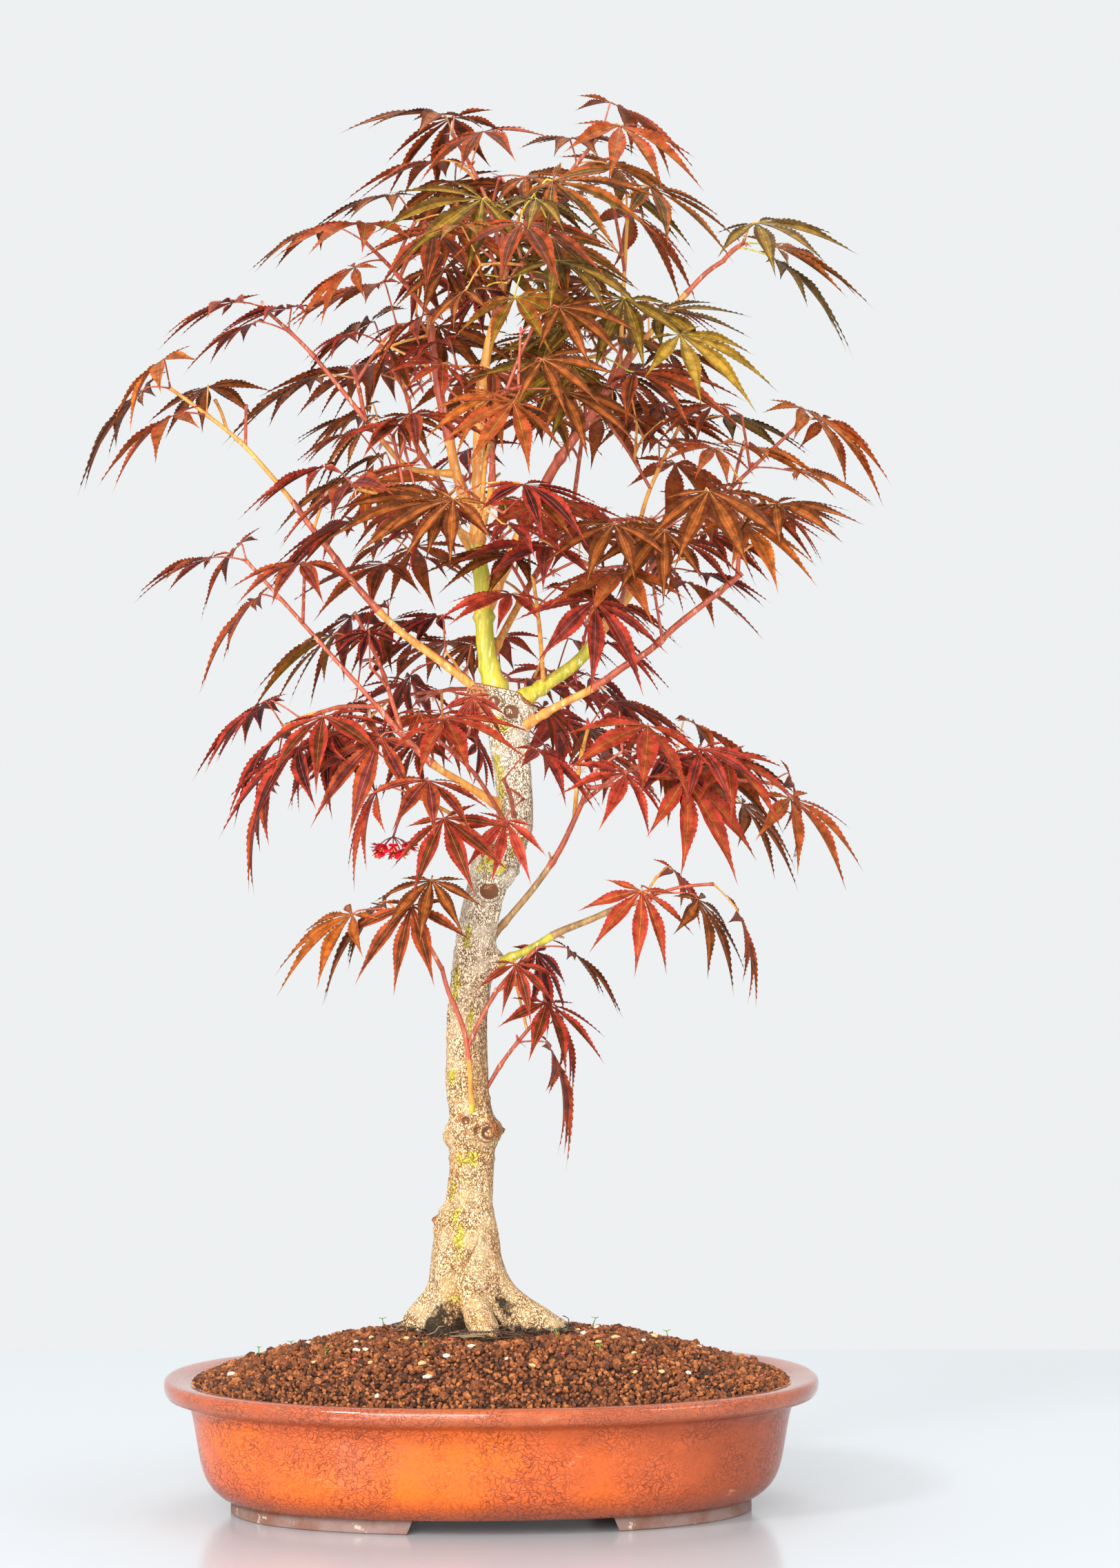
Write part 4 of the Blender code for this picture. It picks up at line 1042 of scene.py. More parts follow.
def bark_material():
    """Cream bark with fine brown wrinkles, paler higher up as partly painted light, and flecked with painted
    highlights. Marks in the mesh place the green parts, the scars with painted shade in the root crease, and
    the darker soil line with painted shade in the hollows between the roots.
    """
    paint = Paint("old_bark", BARK_CREAM, 0.78, Specular_IOR_Level=0.2)
    green, scar_and_shade, dirt_and_shade = [
        paint.node("Attribute", {}, attribute_name=name).outputs["Fac"] for name in BARK_MARKS
    ]
    paint.coat(BARK_TAN, paint.noise(30.0, 4.0, 0.6, 0.5), (0.4, 0.0), (0.62, 1.0))
    # Paler higher up: partly the bark's own paler tone, partly painted light lifting the upper trunk out of
    # the leaves' shade.
    paint.coat(BARK_PALE_PAINTED_LIGHT, paint.axes()["Z"], (0.27, 0.0), (0.37, 0.75))
    # Fine pale flecks: painted highlights.
    paint.coat(BARK_PALE_PAINTED_LIGHT, paint.noise(640.0, 2.0, 0.5), (0.54, 0.0), (0.66, 0.7))
    ragged = paint.noise(210.0, 4.0, 0.7)
    rough = paint.math("MULTIPLY", paint.math("SUBTRACT", ragged, 0.5), 2.2)
    paint.coat(BARK_GREEN, paint.math("ADD", green, rough), (0.42, 0.0), (0.6, 0.85))
    wrinkle = paint.noise(680.0, 2.0, 0.5, 0.7)
    line = paint.math("ABSOLUTE", paint.math("SUBTRACT", wrinkle, 0.5))
    line = paint.ramp(line, (0.025, 1.0), (0.075, 0.0))
    dotted = paint.ramp(paint.noise(75.0), (0.32, 0.35), (0.56, 1.0))
    paint.colour = paint.mix(paint.math("MULTIPLY", line, dotted), paint.colour, BARK_BROWN)
    # Scar wood on scars and the cut top, which also darkens the crease where two roots meet as painted
    # shade.
    scar_and_shade = paint.math("ADD", scar_and_shade, paint.math("MULTIPLY", ragged, 0.7))
    swirl = paint.math("SINE", paint.math("MULTIPLY", scar_and_shade, 30.0))
    wood = paint.mix(paint.ramp(swirl, (0.2, 0.0), (0.6, 1.0)), BARK_RUST, BARK_SCAR)
    paint.coat(wood, scar_and_shade, (0.72, 0.0), (0.9, 0.95))
    # Near-black: darker at the soil line, and painted shade in the hollows between the roots.
    dirt_and_shade = paint.math("ADD", dirt_and_shade, paint.math("MULTIPLY", ragged, 0.9))
    paint.coat(BARK_DIRT_AND_SHADE, dirt_and_shade, (0.80, 0.0), (1.0, 0.95))
    relief = paint.math("SUBTRACT", paint.math("MULTIPLY", ragged, 0.5), paint.math("MULTIPLY", line, 0.5))
    return paint.finish(relief, 0.7)


def young_bark_material(name, first, second, fleck):
    """Smooth young bark, streaked along and flecked with pale pores."""
    paint = Paint(name, first, 0.5)
    streak = paint.noise(240.0, 4.0, 0.6, 0.14)
    paint.coat(second, streak, (0.4, 0.0), (0.62, 1.0))
    paint.coat(fleck, paint.noise(560.0, 2.0, 0.5, 0.22), (0.6, 0.0), (0.68, 0.7))
    return paint.finish(streak, 0.3)


def leaf_material(name, colour):
    """A leaf's blade: satin, a little uneven, with fine raised veins."""
    paint = Paint("leaf_" + name, colour, 0.46, Specular_IOR_Level=0.06)
    paint.colour = [channel * 0.42 for channel in colour]
    paint.coat(colour, paint.noise(170.0, 4.0, 0.65), (0.36, 0.0), (0.62, 1.0))
    return paint.finish(paint.noise(900.0, 2.0, 0.5), 0.25)


def make_pot():
    """The glazed body, with soft rings from the same profile, and its two bare clay feet."""
    corners = [(*corner, 0.0) for corner in (*POT_OUTSIDE, *POT_INSIDE)]
    stations = [(inset, FOOT_HEIGHT, 0.0) for inset in UNDERSIDE_INSETS]
    stations += smooth_path(corners, PROFILE_STEP)
    heap = Heap().add(loft([oval(inset, height, FINE_POT_SIDES) for inset, height, _ in stations]))
    heap.slots = [int(min(heap.points[i][2] for i in face) > LIP_FOOT) for face in heap.faces]
    body = glaze_material("glaze", GLAZE_ORANGE, GLAZE_RED, 1.0, 0.15)
    lip = glaze_material("lip_glaze", RIM_LIGHT, RIM_DARK, 4.0, 0.8)
    pot = make_piece("glazed_pot", heap, [body, lip], ["pot"])
    circle = [(DRAIN_RADIUS * math.cos(a), DRAIN_RADIUS * math.sin(a)) for a in turns(DRAIN_SIDES)]
    ends = (FOOT_HEIGHT - 4.0, FLOOR_TOP + 6.0)
    for place in DRAIN_PLACES:
        drill(pot, loft([[(place + x, y, height) for x, y in circle] for height in ends]))
    feet = Heap().add(foot_shape(0.0)).add(foot_shape(math.pi))
    make_piece("pot_feet", feet, [foot_material()], smooth=False)


def drill(piece, shape):
    """Cuts a closed shape out of a piece."""
    points, faces = shape
    mesh = bpy.data.meshes.new("drill")
    mesh.from_pydata([Vector(point) * METRES for point in points], [], faces)
    cutter = new_object("drill", mesh)
    boolean = piece.modifiers.new("drill", "BOOLEAN")
    boolean.operation = "DIFFERENCE"
    boolean.object = cutter
    graph = bpy.context.evaluated_depsgraph_get()
    cut = bpy.data.meshes.new_from_object(piece.evaluated_get(graph))
    piece.modifiers.clear()
    piece.data = cut
    bpy.data.objects.remove(cutter)


def foot_shape(turned):
    """One foot: a band that follows the oval round an end of the pot, with softened edges."""
    side = 1.0 if turned == 0.0 else -1.0
    inner, top = FOOT_INSET + FOOT_THICKNESS, FOOT_HEIGHT + 1.5
    section = (
        (FOOT_INSET + FOOT_EDGE, 0.0),
        (FOOT_INSET, FOOT_EDGE),
        (FOOT_INSET + 0.3, FOOT_HEIGHT - 2.0),
        (FOOT_INSET + 1.4, top),
        (inner, top),
        (inner, FOOT_EDGE),
        (inner - FOOT_EDGE, 0.0),
    )
    rings = []
    for step in range(FOOT_STEPS + 1):
        share = 2.0 * step / FOOT_STEPS - 1.0
        ring = []
        for inset, height in section:
            taper = FOOT_GAP_TAPER * max(height, 0.0) / (FOOT_HEIGHT + 5.0)
            cut = FOOT_GAP_HALF - taper + side * FOOT_GAP_CENTRE
            reach = (cut / (POT_HALF_LENGTH - inset)) ** (OVAL_POWER / 2.0)
            ring.append(oval_point(inset, height, turned + share * math.acos(reach)))
        rings.append(ring)
    return loft(rings)


def make_soil():
    """The mound's skin, a full cover of clay grains and what lies among them."""
    edge = oval(SOIL_EDGE_INSET - 0.6, 0.0, SOIL_SIDES)
    rings = [[(x * 0.985, y * 0.985, SOIL_EDGE_HEIGHT - 12.0) for x, y, _ in edge]]
    for step in range(SOIL_SKIN_RINGS + 1):
        scale = 1.0 - 0.97 * step / SOIL_SKIN_RINGS
        spots = [(x * scale, y * scale) for x, y, _ in edge]
        rings.append([(x, y, soil_height(x, y) - 1.6 - SOIL_SINK) for x, y in spots])
    clays = [clay_material(f"clay_{name}", *colours) for name, colours in CLAYS.items()]
    # The skin under the grains takes the dark clay: painted shade in the gaps between the grains.
    make_piece("soil_mound", Heap().add(loft(rings)), clays[1:2], ["soil"])
    rng = np.random.default_rng(3)
    grains = scatter_grains(rng, GRAIN_PITCH, 1.0)
    make_grains("soil_grains", grains[::2], GRAIN_RADIUS, clays, rng)
    make_grains("soil_grains_between", grains[1::2], GRAIN_RADIUS, clays, rng)
    make_grains("soil_lumps", scatter_grains(rng, LUMP_PITCH, 0.94), LUMP_RADIUS, clays, rng)
    make_litter(random.Random(11))


def soil_bumps(x, y):
    """How far the loose surface lies over or under the mound's own."""
    broad = noise.noise(Vector((x / 17.0, y / 17.0, 3.0)))
    return 1.8 * broad + 1.2 * noise.noise(Vector((x / 6.0, y / 6.0, 9.0))) - SOIL_SINK


def scatter_grains(rng, pitch, cover):
    """Places all over the mound, one to each cell of a honeycomb, shaken about."""
    places = []
    half_x = (POT_HALF_LENGTH - SOIL_EDGE_INSET - 1.0) * cover
    half_y = (POT_HALF_WIDTH - WIDTH_SLOPE * SOIL_EDGE_INSET - 1.0) * cover
    centre = trunk_at(SOIL_TOP)[0].to_2d()
    for row, y in enumerate(np.arange(-half_y, half_y, pitch * 0.87)):
        for x in np.arange(-half_x + pitch * 0.5 * (row % 2), half_x, pitch):
            px, py = x + rng.uniform(-0.4, 0.4) * pitch, y + rng.uniform(-0.4, 0.4) * pitch
            level = oval_level(px, py, half_x, half_y)
            away = Vector((px, py)) - centre
            foot = trunk_radius(SOIL_TOP, math.degrees(math.atan2(away.y, away.x))) - 3.0
            if level > 1.0 or away.length < foot:
                continue
            lift = soil_bumps(px, py) + rng.uniform(-0.5, 0.7)
            lift *= min(1.0, 5.0 * (1.0 - level ** (1.0 / OVAL_POWER)) + 0.25)
            places.append((px, py, soil_height(px, py) + lift))
    return np.array(places)


def ball_mesh():
    """The twelve corners and twenty faces of an icosahedron."""
    golden = (1.0 + math.sqrt(5.0)) / 2.0
    corners = []
    for one in (-1.0, 1.0):
        for other in (-golden, golden):
            corners += [(0.0, one, other), (one, other, 0.0), (other, 0.0, one)]
    corners = np.array(corners) / math.hypot(1.0, golden)
    near = np.linalg.norm(corners[:, None] - corners[None], axis=2) < 1.1
    faces = []
    for a, b, c in combinations(range(12), 3):
        if near[a, b] and near[b, c] and near[a, c]:
            outward = np.dot(np.cross(corners[b] - corners[a], corners[c] - corners[a]), corners[a])
            faces.append((a, b, c) if outward > 0.0 else (a, c, b))
    return corners, np.array(faces)


def make_grains(name, places, radius, materials, rng):
    """Crumbs at many places, each with its own size, turn, dents and clay."""
    corners, faces = ball_mesh()
    count = len(places)
    turned = np.linalg.qr(rng.normal(size=(count, 3, 3)))[0]
    turned[:, :, 0] *= np.sign(np.linalg.det(turned))[:, None]
    shapes = corners[None] * rng.uniform(0.72, 1.25, (count, 12, 1))
    shapes = shapes * rng.uniform(0.75, 1.2, (count, 1, 3))
    shapes = np.einsum("nij,nkj->nki", turned, shapes) * rng.uniform(*radius, (count, 1, 1))
    all_faces = faces[None] + 12 * np.arange(count)[:, None, None]
    heap = Heap()
    heap.points = (shapes + places[:, None]).reshape(-1, 3)
    heap.faces = all_faces.reshape(-1, 3).tolist()
    heap.slots = np.repeat(rng.choice(len(materials), count, p=CLAY_SHARES), 20).tolist()
    make_piece(name, heap, materials, smooth=False)


def make_litter(rng):
    """Pale grit, shed bud scales, seedlings and bits of twig and root on the soil."""
    corners, faces = ball_mesh()
    grit, sprouts, threads = Heap(), Heap(), Heap()
    for _ in range(GRIT_COUNT):
        x, y = rng.gauss(12.0, 70.0), rng.gauss(-32.0, 55.0)
        if oval_level(x, y, *LITTER_REACH) > 0.9 or math.hypot(x, y) < 50.0:
            continue
        kind = rng.choice((0, 0, 1, 1, 2))
        size = rng.uniform(1.3, 2.6) if kind < 2 else 1.5
        long = rng.uniform(1.0, 1.9)
        turn = Matrix.Rotation(rng.uniform(0.0, 6.3), 3, "Z")
        turn = turn @ Matrix.Rotation(rng.uniform(-0.5, 0.5), 3, "X")
        spot = Vector((x, y, soil_height(x, y) + soil_bumps(x, y) + 1.3))
        shape = [spot + turn @ Vector((c[0] * size * long, c[1] * size, c[2] * size * 0.7)) for c in corners]
        grit.add((shape, faces.tolist()), kind)
    make_piece("soil_grit", grit, plain_materials(GRIT_COLOURS, 0.6), smooth=False)
    for _ in range(SPROUT_COUNT):
        x, y = rng.uniform(-150.0, 150.0), rng.uniform(-100.0, 100.0)
        if oval_level(x, y, *LITTER_REACH) > 0.85 or math.hypot(x, y) < 45.0:
            continue
        foot = Vector((x, y, soil_height(x, y)))
        top = foot + Vector((rng.uniform(-2.0, 2.0), rng.uniform(-2.0, 2.0), rng.uniform(3.2, 5.0)))
        sprouts.add(tube([foot, foot.lerp(top, 0.5), top], [0.4, 0.35, 0.3], 5))
        for turn in (0.3, 2.4, 4.4):
            way = Vector((math.cos(turn + x), math.sin(turn + x), 0.35))
            sprouts.add(scale_shape(top, way, rng.uniform(1.8, 3.4), 0.9, 0.1))
    make_piece("soil_sprouts", sprouts, [new_material("sprout", SPROUT_GREEN, 0.5)])
    centre = trunk_at(SOIL_TOP)[0]
    for thread in range(THREAD_COUNT):
        angle = rng.uniform(0.0, 2.0 * math.pi)
        foot = trunk_radius(TRUNK_LINE[0].height + 4.0, math.degrees(angle))
        path = []
        for step in range(5):
            reach = foot - 3.0 + step * rng.uniform(0.8, 3.8)
            turn = angle + step * rng.uniform(-0.12, 0.12)
            x, y = centre.x + reach * math.cos(turn), centre.y + reach * math.sin(turn)
            lift = rng.uniform(0.5, 3.0) + 7.0 * (1.0 - step / 4.0) * rng.random()
            path.append(Vector((x, y, soil_height(x, y) + lift)))
        threads.add(even_tube(smooth_path(path, 2.5), 0.35, 4), thread % 3)
    colours = {f"thread_{i}": colour for i, colour in enumerate(THREAD_COLOURS)}
    make_piece("root_threads", threads, plain_materials(colours, 0.8))


def even_tube(path, radius, sides):
    return tube(path, [radius] * len(path), sides)


def scale_shape(root, way, length, half_width, curl):
    """A small pointed scale or petal that curls outward along its length."""
    way = way.normalized()
    across = way.cross(UP)
    across = across.normalized() if across.length > 0.1 else Vector((1.0, 0.0, 0.0))
    lift = across.cross(way)
    points = []
    for place, width in ((0.0, 0.45), (0.3, 0.95), (0.6, 1.0), (0.85, 0.55)):
        middle = root + way * length * place - lift * length * curl * place * place
        aside = across * half_width * width
        points += [middle - aside, middle + lift * 0.3, middle + aside]
    points.append(root + way * length - lift * length * curl)
    lows = [row * 3 + column for row in range(3) for column in range(2)]
    return points, [(low, low + 1, low + 4, low + 3) for low in lows] + [(9, 10, 12), (10, 11, 12)]


def trunk_detail(height, angle):
    """Fine relief of the bark on top of the trunk's main form."""
    turn = math.radians(angle)
    place = Vector((math.cos(turn) * 2.4, math.sin(turn) * 2.4, height / 24.0))

    def grain(finer, rise):
        return noise.noise(Vector((place.x * finer, place.y * finer, height / rise)))

    relief = 0.9 * noise.noise(place) + 0.45 * noise.noise(place * 3.1)
    relief += 0.3 * grain(6.0, 22.0)
    for knot in KNOTS:
        away = math.sqrt(away_from(knot, height, angle))
        if away < 2.4:
            relief += (0.8 * math.cos(away * 8.0) + 1.5 * grain(4.0, 3.5)) * bell(away)
    for ring in BARK_RINGS:
        relief += 0.7 * bell((height - ring) / 1.3)
    flare = bell((height - TRUNK_LINE[0].height) / (FLARE_HEIGHT * 0.85))
    grooves = sum(one.depth * bell(turn_between(angle, one.angle) / one.spread) for one in ROOT_GROOVES)
    relief -= 1.5 * crease_at(height, angle)
    return relief + flare * (2.6 * grain(3.0, 6.0) - grooves)


def crease_at(height, angle):
    """The depth, from 0 to 1, of the V where the bark of two roots meets."""
    turn = turn_between(angle, CREASE_ANGLE)
    if turn > CREASE_SPREAD:
        return 0.0
    return bell((height - CREASE_HEIGHT - CREASE_SLOPE * turn) / 1.9)


def mark_at(marks, height, angle):
    """How strongly any of the marks covers a place on the trunk, from 0 to 1."""
    return max(mark.size * math.exp(-away_from(mark, height, angle) * 1.4) for mark in marks)


def make_trunk():
    """The trunk with its bark's relief, in place of the plain one."""
    low, high = TRUNK_LINE[0].height, TRUNK_LINE[-1].height
    levels = [(low - 7.0 + step, 1.0) for step in range(7)]
    count = round((high - low) / BARK_RING_STEP)
    levels += [(low + (high - low) * step / count, 1.0) for step in range(count + 1)]
    levels += [(high + rise, scale) for rise, scale in TOP_EDGE]
    rings, marks = [], []
    for height, scale in levels:
        kept = min(max(height, low), high)
        middle, _ = trunk_at(kept)
        ring = []
        for way in turns(BARK_SIDES):
            angle = math.degrees(way)
            reach = (trunk_radius(kept, angle) + trunk_detail(height, angle)) * scale
            reach += max(0.0, low - height) * 0.5
            slant = TOP_SLANT * reach * math.cos(way) * max(0.0, (height - high + 12.0) / 14.0)
            ring.append((middle.x + reach * math.cos(way), middle.y + reach * math.sin(way), height + slant))
            top_scar = 0.8 if scale < 0.9 else 0.0
            # Scars and the cut top, and the crease where two roots meet, darkened there as painted shade.
            scar_and_shade = max(top_scar, mark_at(SCARS, height, angle), 0.62 * crease_at(height, angle))
            # Darker at the soil line, and painted shade in the hollows between the roots.
            dirt_and_shade = bell((height - low) / 5.0) * 0.55 + 0.9 * mark_at(ROOT_HOLLOW_SHADE, height, angle)
            marks.append((mark_at(GREEN_MARKS, height, angle), scar_and_shade, dirt_and_shade))
        rings.append(ring)
    bark = bark_material()
    trunk = make_piece("trunk_bark", Heap().add(loft(rings)), [bark], ["trunk"])
    marks += [marks[0], marks[-1]]
    for column, name in enumerate(BARK_MARKS):
        layer = trunk.data.attributes.new(name, "FLOAT", "POINT")
        layer.data.foreach_set("value", [mark[column] for mark in marks])
    stubs = Heap()
    for stub in STUBS:
        shape = stub_shape(stub)
        heart = 1 + list(STUB_HEARTS).index(stub.heart)
        stubs.add(shape, [0 if index < 2 * STUB_SIDES else heart for index in range(len(shape[1]))])
    hearts = plain_materials({f"stub_{name}": colour for name, colour in STUB_HEARTS.items()}, 0.8)
    make_piece("trunk_stubs", stubs, [bark, *hearts])


def stub_shape(stub):
    """The lip of bark round what is left of an old twig."""
    way = math.radians(stub.angle)
    out = Vector((math.cos(way), math.sin(way), 0.1)).normalized()
    across = out.cross(UP).normalized()
    lift = across.cross(out)
    foot = trunk_at(stub.height)[0] + out * trunk_radius(stub.height, stub.angle)
    asides = [across * math.cos(turn) * 1.15 + lift * math.sin(turn) for turn in turns(STUB_SIDES)]
    rings = []
    for reach, share in STUB_PROFILE:
        middle = foot + out * reach * stub.length
        rings.append([middle + aside * stub.radius * share for aside in asides])
    return loft(rings)


def twig_shape(points, base, tip, nodes, sides, collar=0.0):
    """A smooth twig, swollen at each node, which is given by its distance along, and at its collar."""
    path = smooth_path(points, FINE_STEP)
    radii = []
    gone = 0.0
    lengths = lengths_of(path)
    total = sum(lengths)
    for length, point in zip([0.0, *lengths], path):
        gone += length
        radius = base + (tip - base) * gone / total
        swell = max([bell((gone - node) / 1.9) for node in nodes] or [0.0])
        foot = 0.55 * bell((gone - collar) / 5.0) if collar else 0.0
        radii.append(radius * (1.0 + 0.32 * swell + foot + 0.05 * noise.noise(point / 4.0)))
    return path, tube(path, radii, sides)


def sections(path, nodes, levels, sides, face_count):
    """The material number of each face of a twig: it changes at the node nearest to each level."""
    lengths = lengths_of(path)
    cuts = []
    for level in levels:
        goal = level * sum(lengths)
        cuts.append(min(nodes, key=lambda node: abs(node - goal)) if nodes else goal)
    slots = []
    gone = 0.0
    for length in lengths:
        gone += length
        slots += [sum(gone > cut for cut in cuts)] * sides
    return slots + [0] * sides + [len(levels)] * (face_count - len(slots) - sides)


def make_boughs():
    """Every limb with its bark, node rings and collar, each in place of its own solid."""
    barks = [young_bark_material(name, *colours) for name, colours in YOUNG_BARKS.items()]
    names = list(YOUNG_BARKS)
    for name, limb in LIMBS.items():
        rng = random.Random(f"{name} nodes")
        points = limb_path(name)
        total = sum(lengths_of(points))
        on_trunk = limb.parent == "trunk"
        collar = trunk_at(limb.place)[1] + 3.0 if on_trunk else LIMBS[limb.parent].base_radius * 0.8
        nodes = [collar + 12.0]
        while nodes[-1] < total - 18.0:
            nodes.append(nodes[-1] + rng.uniform(*NODE_SPACING))
        sides = BOUGH_SIDES if limb.base_radius > 2.0 else TWIG_SIDES
        path, shape = twig_shape(points, limb.base_radius, limb.tip_radius, nodes, sides, collar)
        levels, order = BOUGH_BARKS.get(name, BOUGH_BARKS["other"])
        local = sections(path, nodes, levels, sides, len(shape[1]))
        heap = Heap().add(shape, [names.index(order[slot]) for slot in local])
        for node in nodes[1:]:
            if rng.random() < STUB_SHARE:
                spot, forward = point_along(path, min(node / total, 1.0))
                way = (around(forward, rng.uniform(0.0, 6.3)) + forward * 0.6).normalized()
                stub = [spot, spot + way * rng.uniform(3.5, 6.5), spot + way * rng.uniform(6.6, 9.5)]
                heap.add(tube(stub, [0.9, 0.8, 0.6], 6), names.index("tan"))
        make_piece(name + "_bark", heap, barks, [name])


def blade_width(place):
    return HALF_WIDTH * float(np.interp(place, BLADE_PLACES, BLADE_WIDTHS))


def blade_stations(share):
    """Places along a lobe, each with its half-width and tooth, as shares of the lobe's length."""
    teeth = max(4, round(TEETH * share))
    first, last = TOOTHED
    places = [0.015, 0.09] + [first + (last - first) * i / teeth for i in range(teeth + 1)]
    rows = []
    for i, place in enumerate(places):
        tooth = None
        if 2 <= i < len(places) - 1:
            after = place + (places[i + 1] - place) * 0.72
            tooth = (after, blade_width(after) + TOOTH_DEPTH * (1.15 - after))
        rows.append((place, blade_width(place), tooth))
    return rows


def lobe_shape(leaf, middle, angle, share, rng):
    """One lobe: two halves folded up along the midrib, toothed and finely pleated, and the rib itself.

    The faces come back with 0 for the inner blade, 1 for the margin and 2 for the rib."""
    rows = blade_stations(share)
    side = leaf.normal.cross(leaf.along)
    way = leaf.along * math.cos(angle) + side * math.sin(angle)
    level = side * math.cos(angle) - leaf.along * math.sin(angle)
    roll = rng.uniform(-LOBE_ROLL, LOBE_ROLL)
    across = level * math.cos(roll) + leaf.normal * math.sin(roll)
    lift = leaf.normal * math.cos(roll) - level * math.sin(roll)
    reach = share * leaf.length
    fold = rng.uniform(*LEAF_FOLD)
    curl = rng.uniform(-LOBE_CURL, LOBE_CURL)
    sag = LEAF_DROOP + rng.uniform(-0.05, 0.06)
    wide = rng.uniform(0.88, 1.12)

    def spot(place, width, rise=0.0):
        out = place * reach
        centre = middle + way * out - leaf.normal * (sag * out * out / leaf.length)
        centre += across * (curl * reach * place * place)
        return centre + across * (width * reach * wide) + lift * (abs(width) * reach * fold + rise)

    points, faces, slots = [], [], []
    for place, width, _ in rows:
        points += [spot(place, 0.0)]
        points += [spot(place, s * width * 0.5, -0.15) for s in (1, -1)]
        points += [spot(place, s * width, -0.25) for s in (1, -1)]
    tip = len(points)
    points.append(spot(1.0, 0.0))
    for i, (_, _, tooth) in enumerate(rows):
        low = 5 * i
        for s in (0, 1):
            inner, edge = low + 1 + s, low + 3 + s
            if i == len(rows) - 1:
                found = [[low, tip, inner], [inner, tip, edge]]
                slots += [1, 1]
            elif tooth:
                peak = len(points)
                points.append(spot(tooth[0], (tooth[1], -tooth[1])[s], PLEAT))
                found = [[low, low + 5, inner + 5, inner]]
                found += [[inner, inner + 5, peak, edge], [inner + 5, edge + 5, peak]]
                slots += [0, 1, 1]
            else:
                found = [[low, low + 5, inner + 5, inner], [inner, inner + 5, edge + 5, edge]]
                slots += [0, 1]
            faces += [face[::-1] for face in found] if s else found
    start = len(points)
    for place, _, _ in rows:
        half = RIB_WIDTH * (1.0 - 0.8 * place) / reach
        points += [spot(place, half, RIB_RISE), spot(place, -half, RIB_RISE)]
    for low in range(start, len(points) - 2, 2):
        faces.append([low + 1, low + 3, low + 2, low])
        slots.append(2)
    return (points, faces), slots


def leaf_pieces(leaf, rng):
    """The shapes of one leaf: its seven lobes."""
    found = []
    for angle, share in ALL_LOBES:
        turn = math.radians(angle + rng.uniform(-LOBE_SPREAD, LOBE_SPREAD))
        found.append(lobe_shape(leaf, middle_of(leaf), turn, share * rng.uniform(0.94, 1.0), rng))
    return found


def stalk_shape(leaf):
    """The leaf's stalk, from the twig to the middle of the blade, a little arched."""
    middle = middle_of(leaf)
    elbow = middle - leaf.along * STALK_ELBOW
    path = smooth_path([leaf.root, leaf.root.lerp(elbow, 0.5) + UP * 0.8, elbow, middle], 5.0)
    return tube(path, [0.95] + [STALK_RADIUS] * (len(path) - 2) + [0.5], 5)


def grow_fine(name, parents, reach_from, others):
    """Finer twigs on the given ones, each with a pair of smaller leaves at its end."""
    dress = DRESS[name]
    rng = random.Random(f"{name} fine {dress.seed}")
    twigs, leaves, grown = [], [], []
    for _ in range(dress.twigs):
        for _ in range(FINE_TRIES):
            start, forward = point_along(rng.choice(parents).path, rng.uniform(*FINE_PLACE))
            angle = rng.uniform(0.0, 2.0 * math.pi)
            heading = (around(forward, angle) + forward * 0.5 + UP * 0.25).normalized()
            end = start + heading * rng.uniform(*FINE_LENGTH)
            pair = []
            for opposite in OPPOSITE:
                leaf = leaf_from(end, heading, angle + math.pi / 2.0 + opposite, rng)
                leaf = leaf._replace(length=leaf.length * rng.uniform(*FINE_LEAF))
                tip = tip_of(leaf)
                inside = all(low < t < high for low, t, high in zip(REACH[0], tip, REACH[1]))
                inside = inside and (not reach_from or (tip - reach_from).length < SPRAY_REACH)
                if inside and clear_of(leaf, others + grown):
                    pair.append(leaf)
            if pair:
                path = [start, start.lerp(end, 0.5) + UP, end]
                twigs.append(Twig(path, tapered(path, *FINE_RADIUS)))
                leaves += pair
                grown += [tree_of(leaf_shape(leaf)) for leaf in pair]
                break
    return twigs, leaves, grown


def shape_of(solid):
    points = [vertex.co / METRES for vertex in solid.data.vertices]
    return points, [tuple(polygon.vertices) for polygon in solid.data.polygons]


def grow_all():
    """All the sprays as the solids have them, then the finer growth: name to (twigs, leaves)."""
    fixed = [tree_of(shape_of(frame["nodes"][name])) for name in ("pot", "soil", "trunk", *LIMBS)]
    stems = {name: stem_of(name) for name in SPRAYS}
    stem_trees = {name: tree_of(tube(*stem, STEM_SIDES)) for name, stem in stems.items()}
    fixed += [tree_of(shape) for shape in flower_stalks()[1:]]
    found, grown = {}, []
    for name in SPRAYS:
        others = fixed + [tree for other, tree in stem_trees.items() if other != name] + grown
        twigs, leaves = found[name] = grow_spray(name, stems[name], others)
        grown += [tree_of(tube(*twig, STEM_SIDES)) for twig in twigs[1:]]
        grown += [tree_of(leaf_shape(leaf)) for leaf in leaves]
    grown += fixed
    for name in DRESS:
        twigs, leaves = found.get(name, ([], []))
        parents = twigs or [Twig(limb_path(name), None)]
        reach_from = Vector(SPRAYS[name].tip) if name in SPRAYS else None
        more, extra, trees = grow_fine(name, parents, reach_from, grown)
        found[name] = (twigs + more, leaves + extra)
        grown += trees
    return found


def bract_cluster(heap, spot, forward, rng):
    """Bud scales curled back round a node, pink with pale tips."""
    for _ in range(rng.randint(3, 6)):
        way = (around(forward, rng.uniform(0.0, 6.3)) + forward * rng.uniform(0.1, 1.1)).normalized()
        length, half_width, curl = rng.uniform(3.5, 8.0), rng.uniform(0.7, 1.3), rng.uniform(0.1, 0.5)
        heap.add(scale_shape(spot, way, length, half_width, curl), rng.choice((0, 0, 1)))


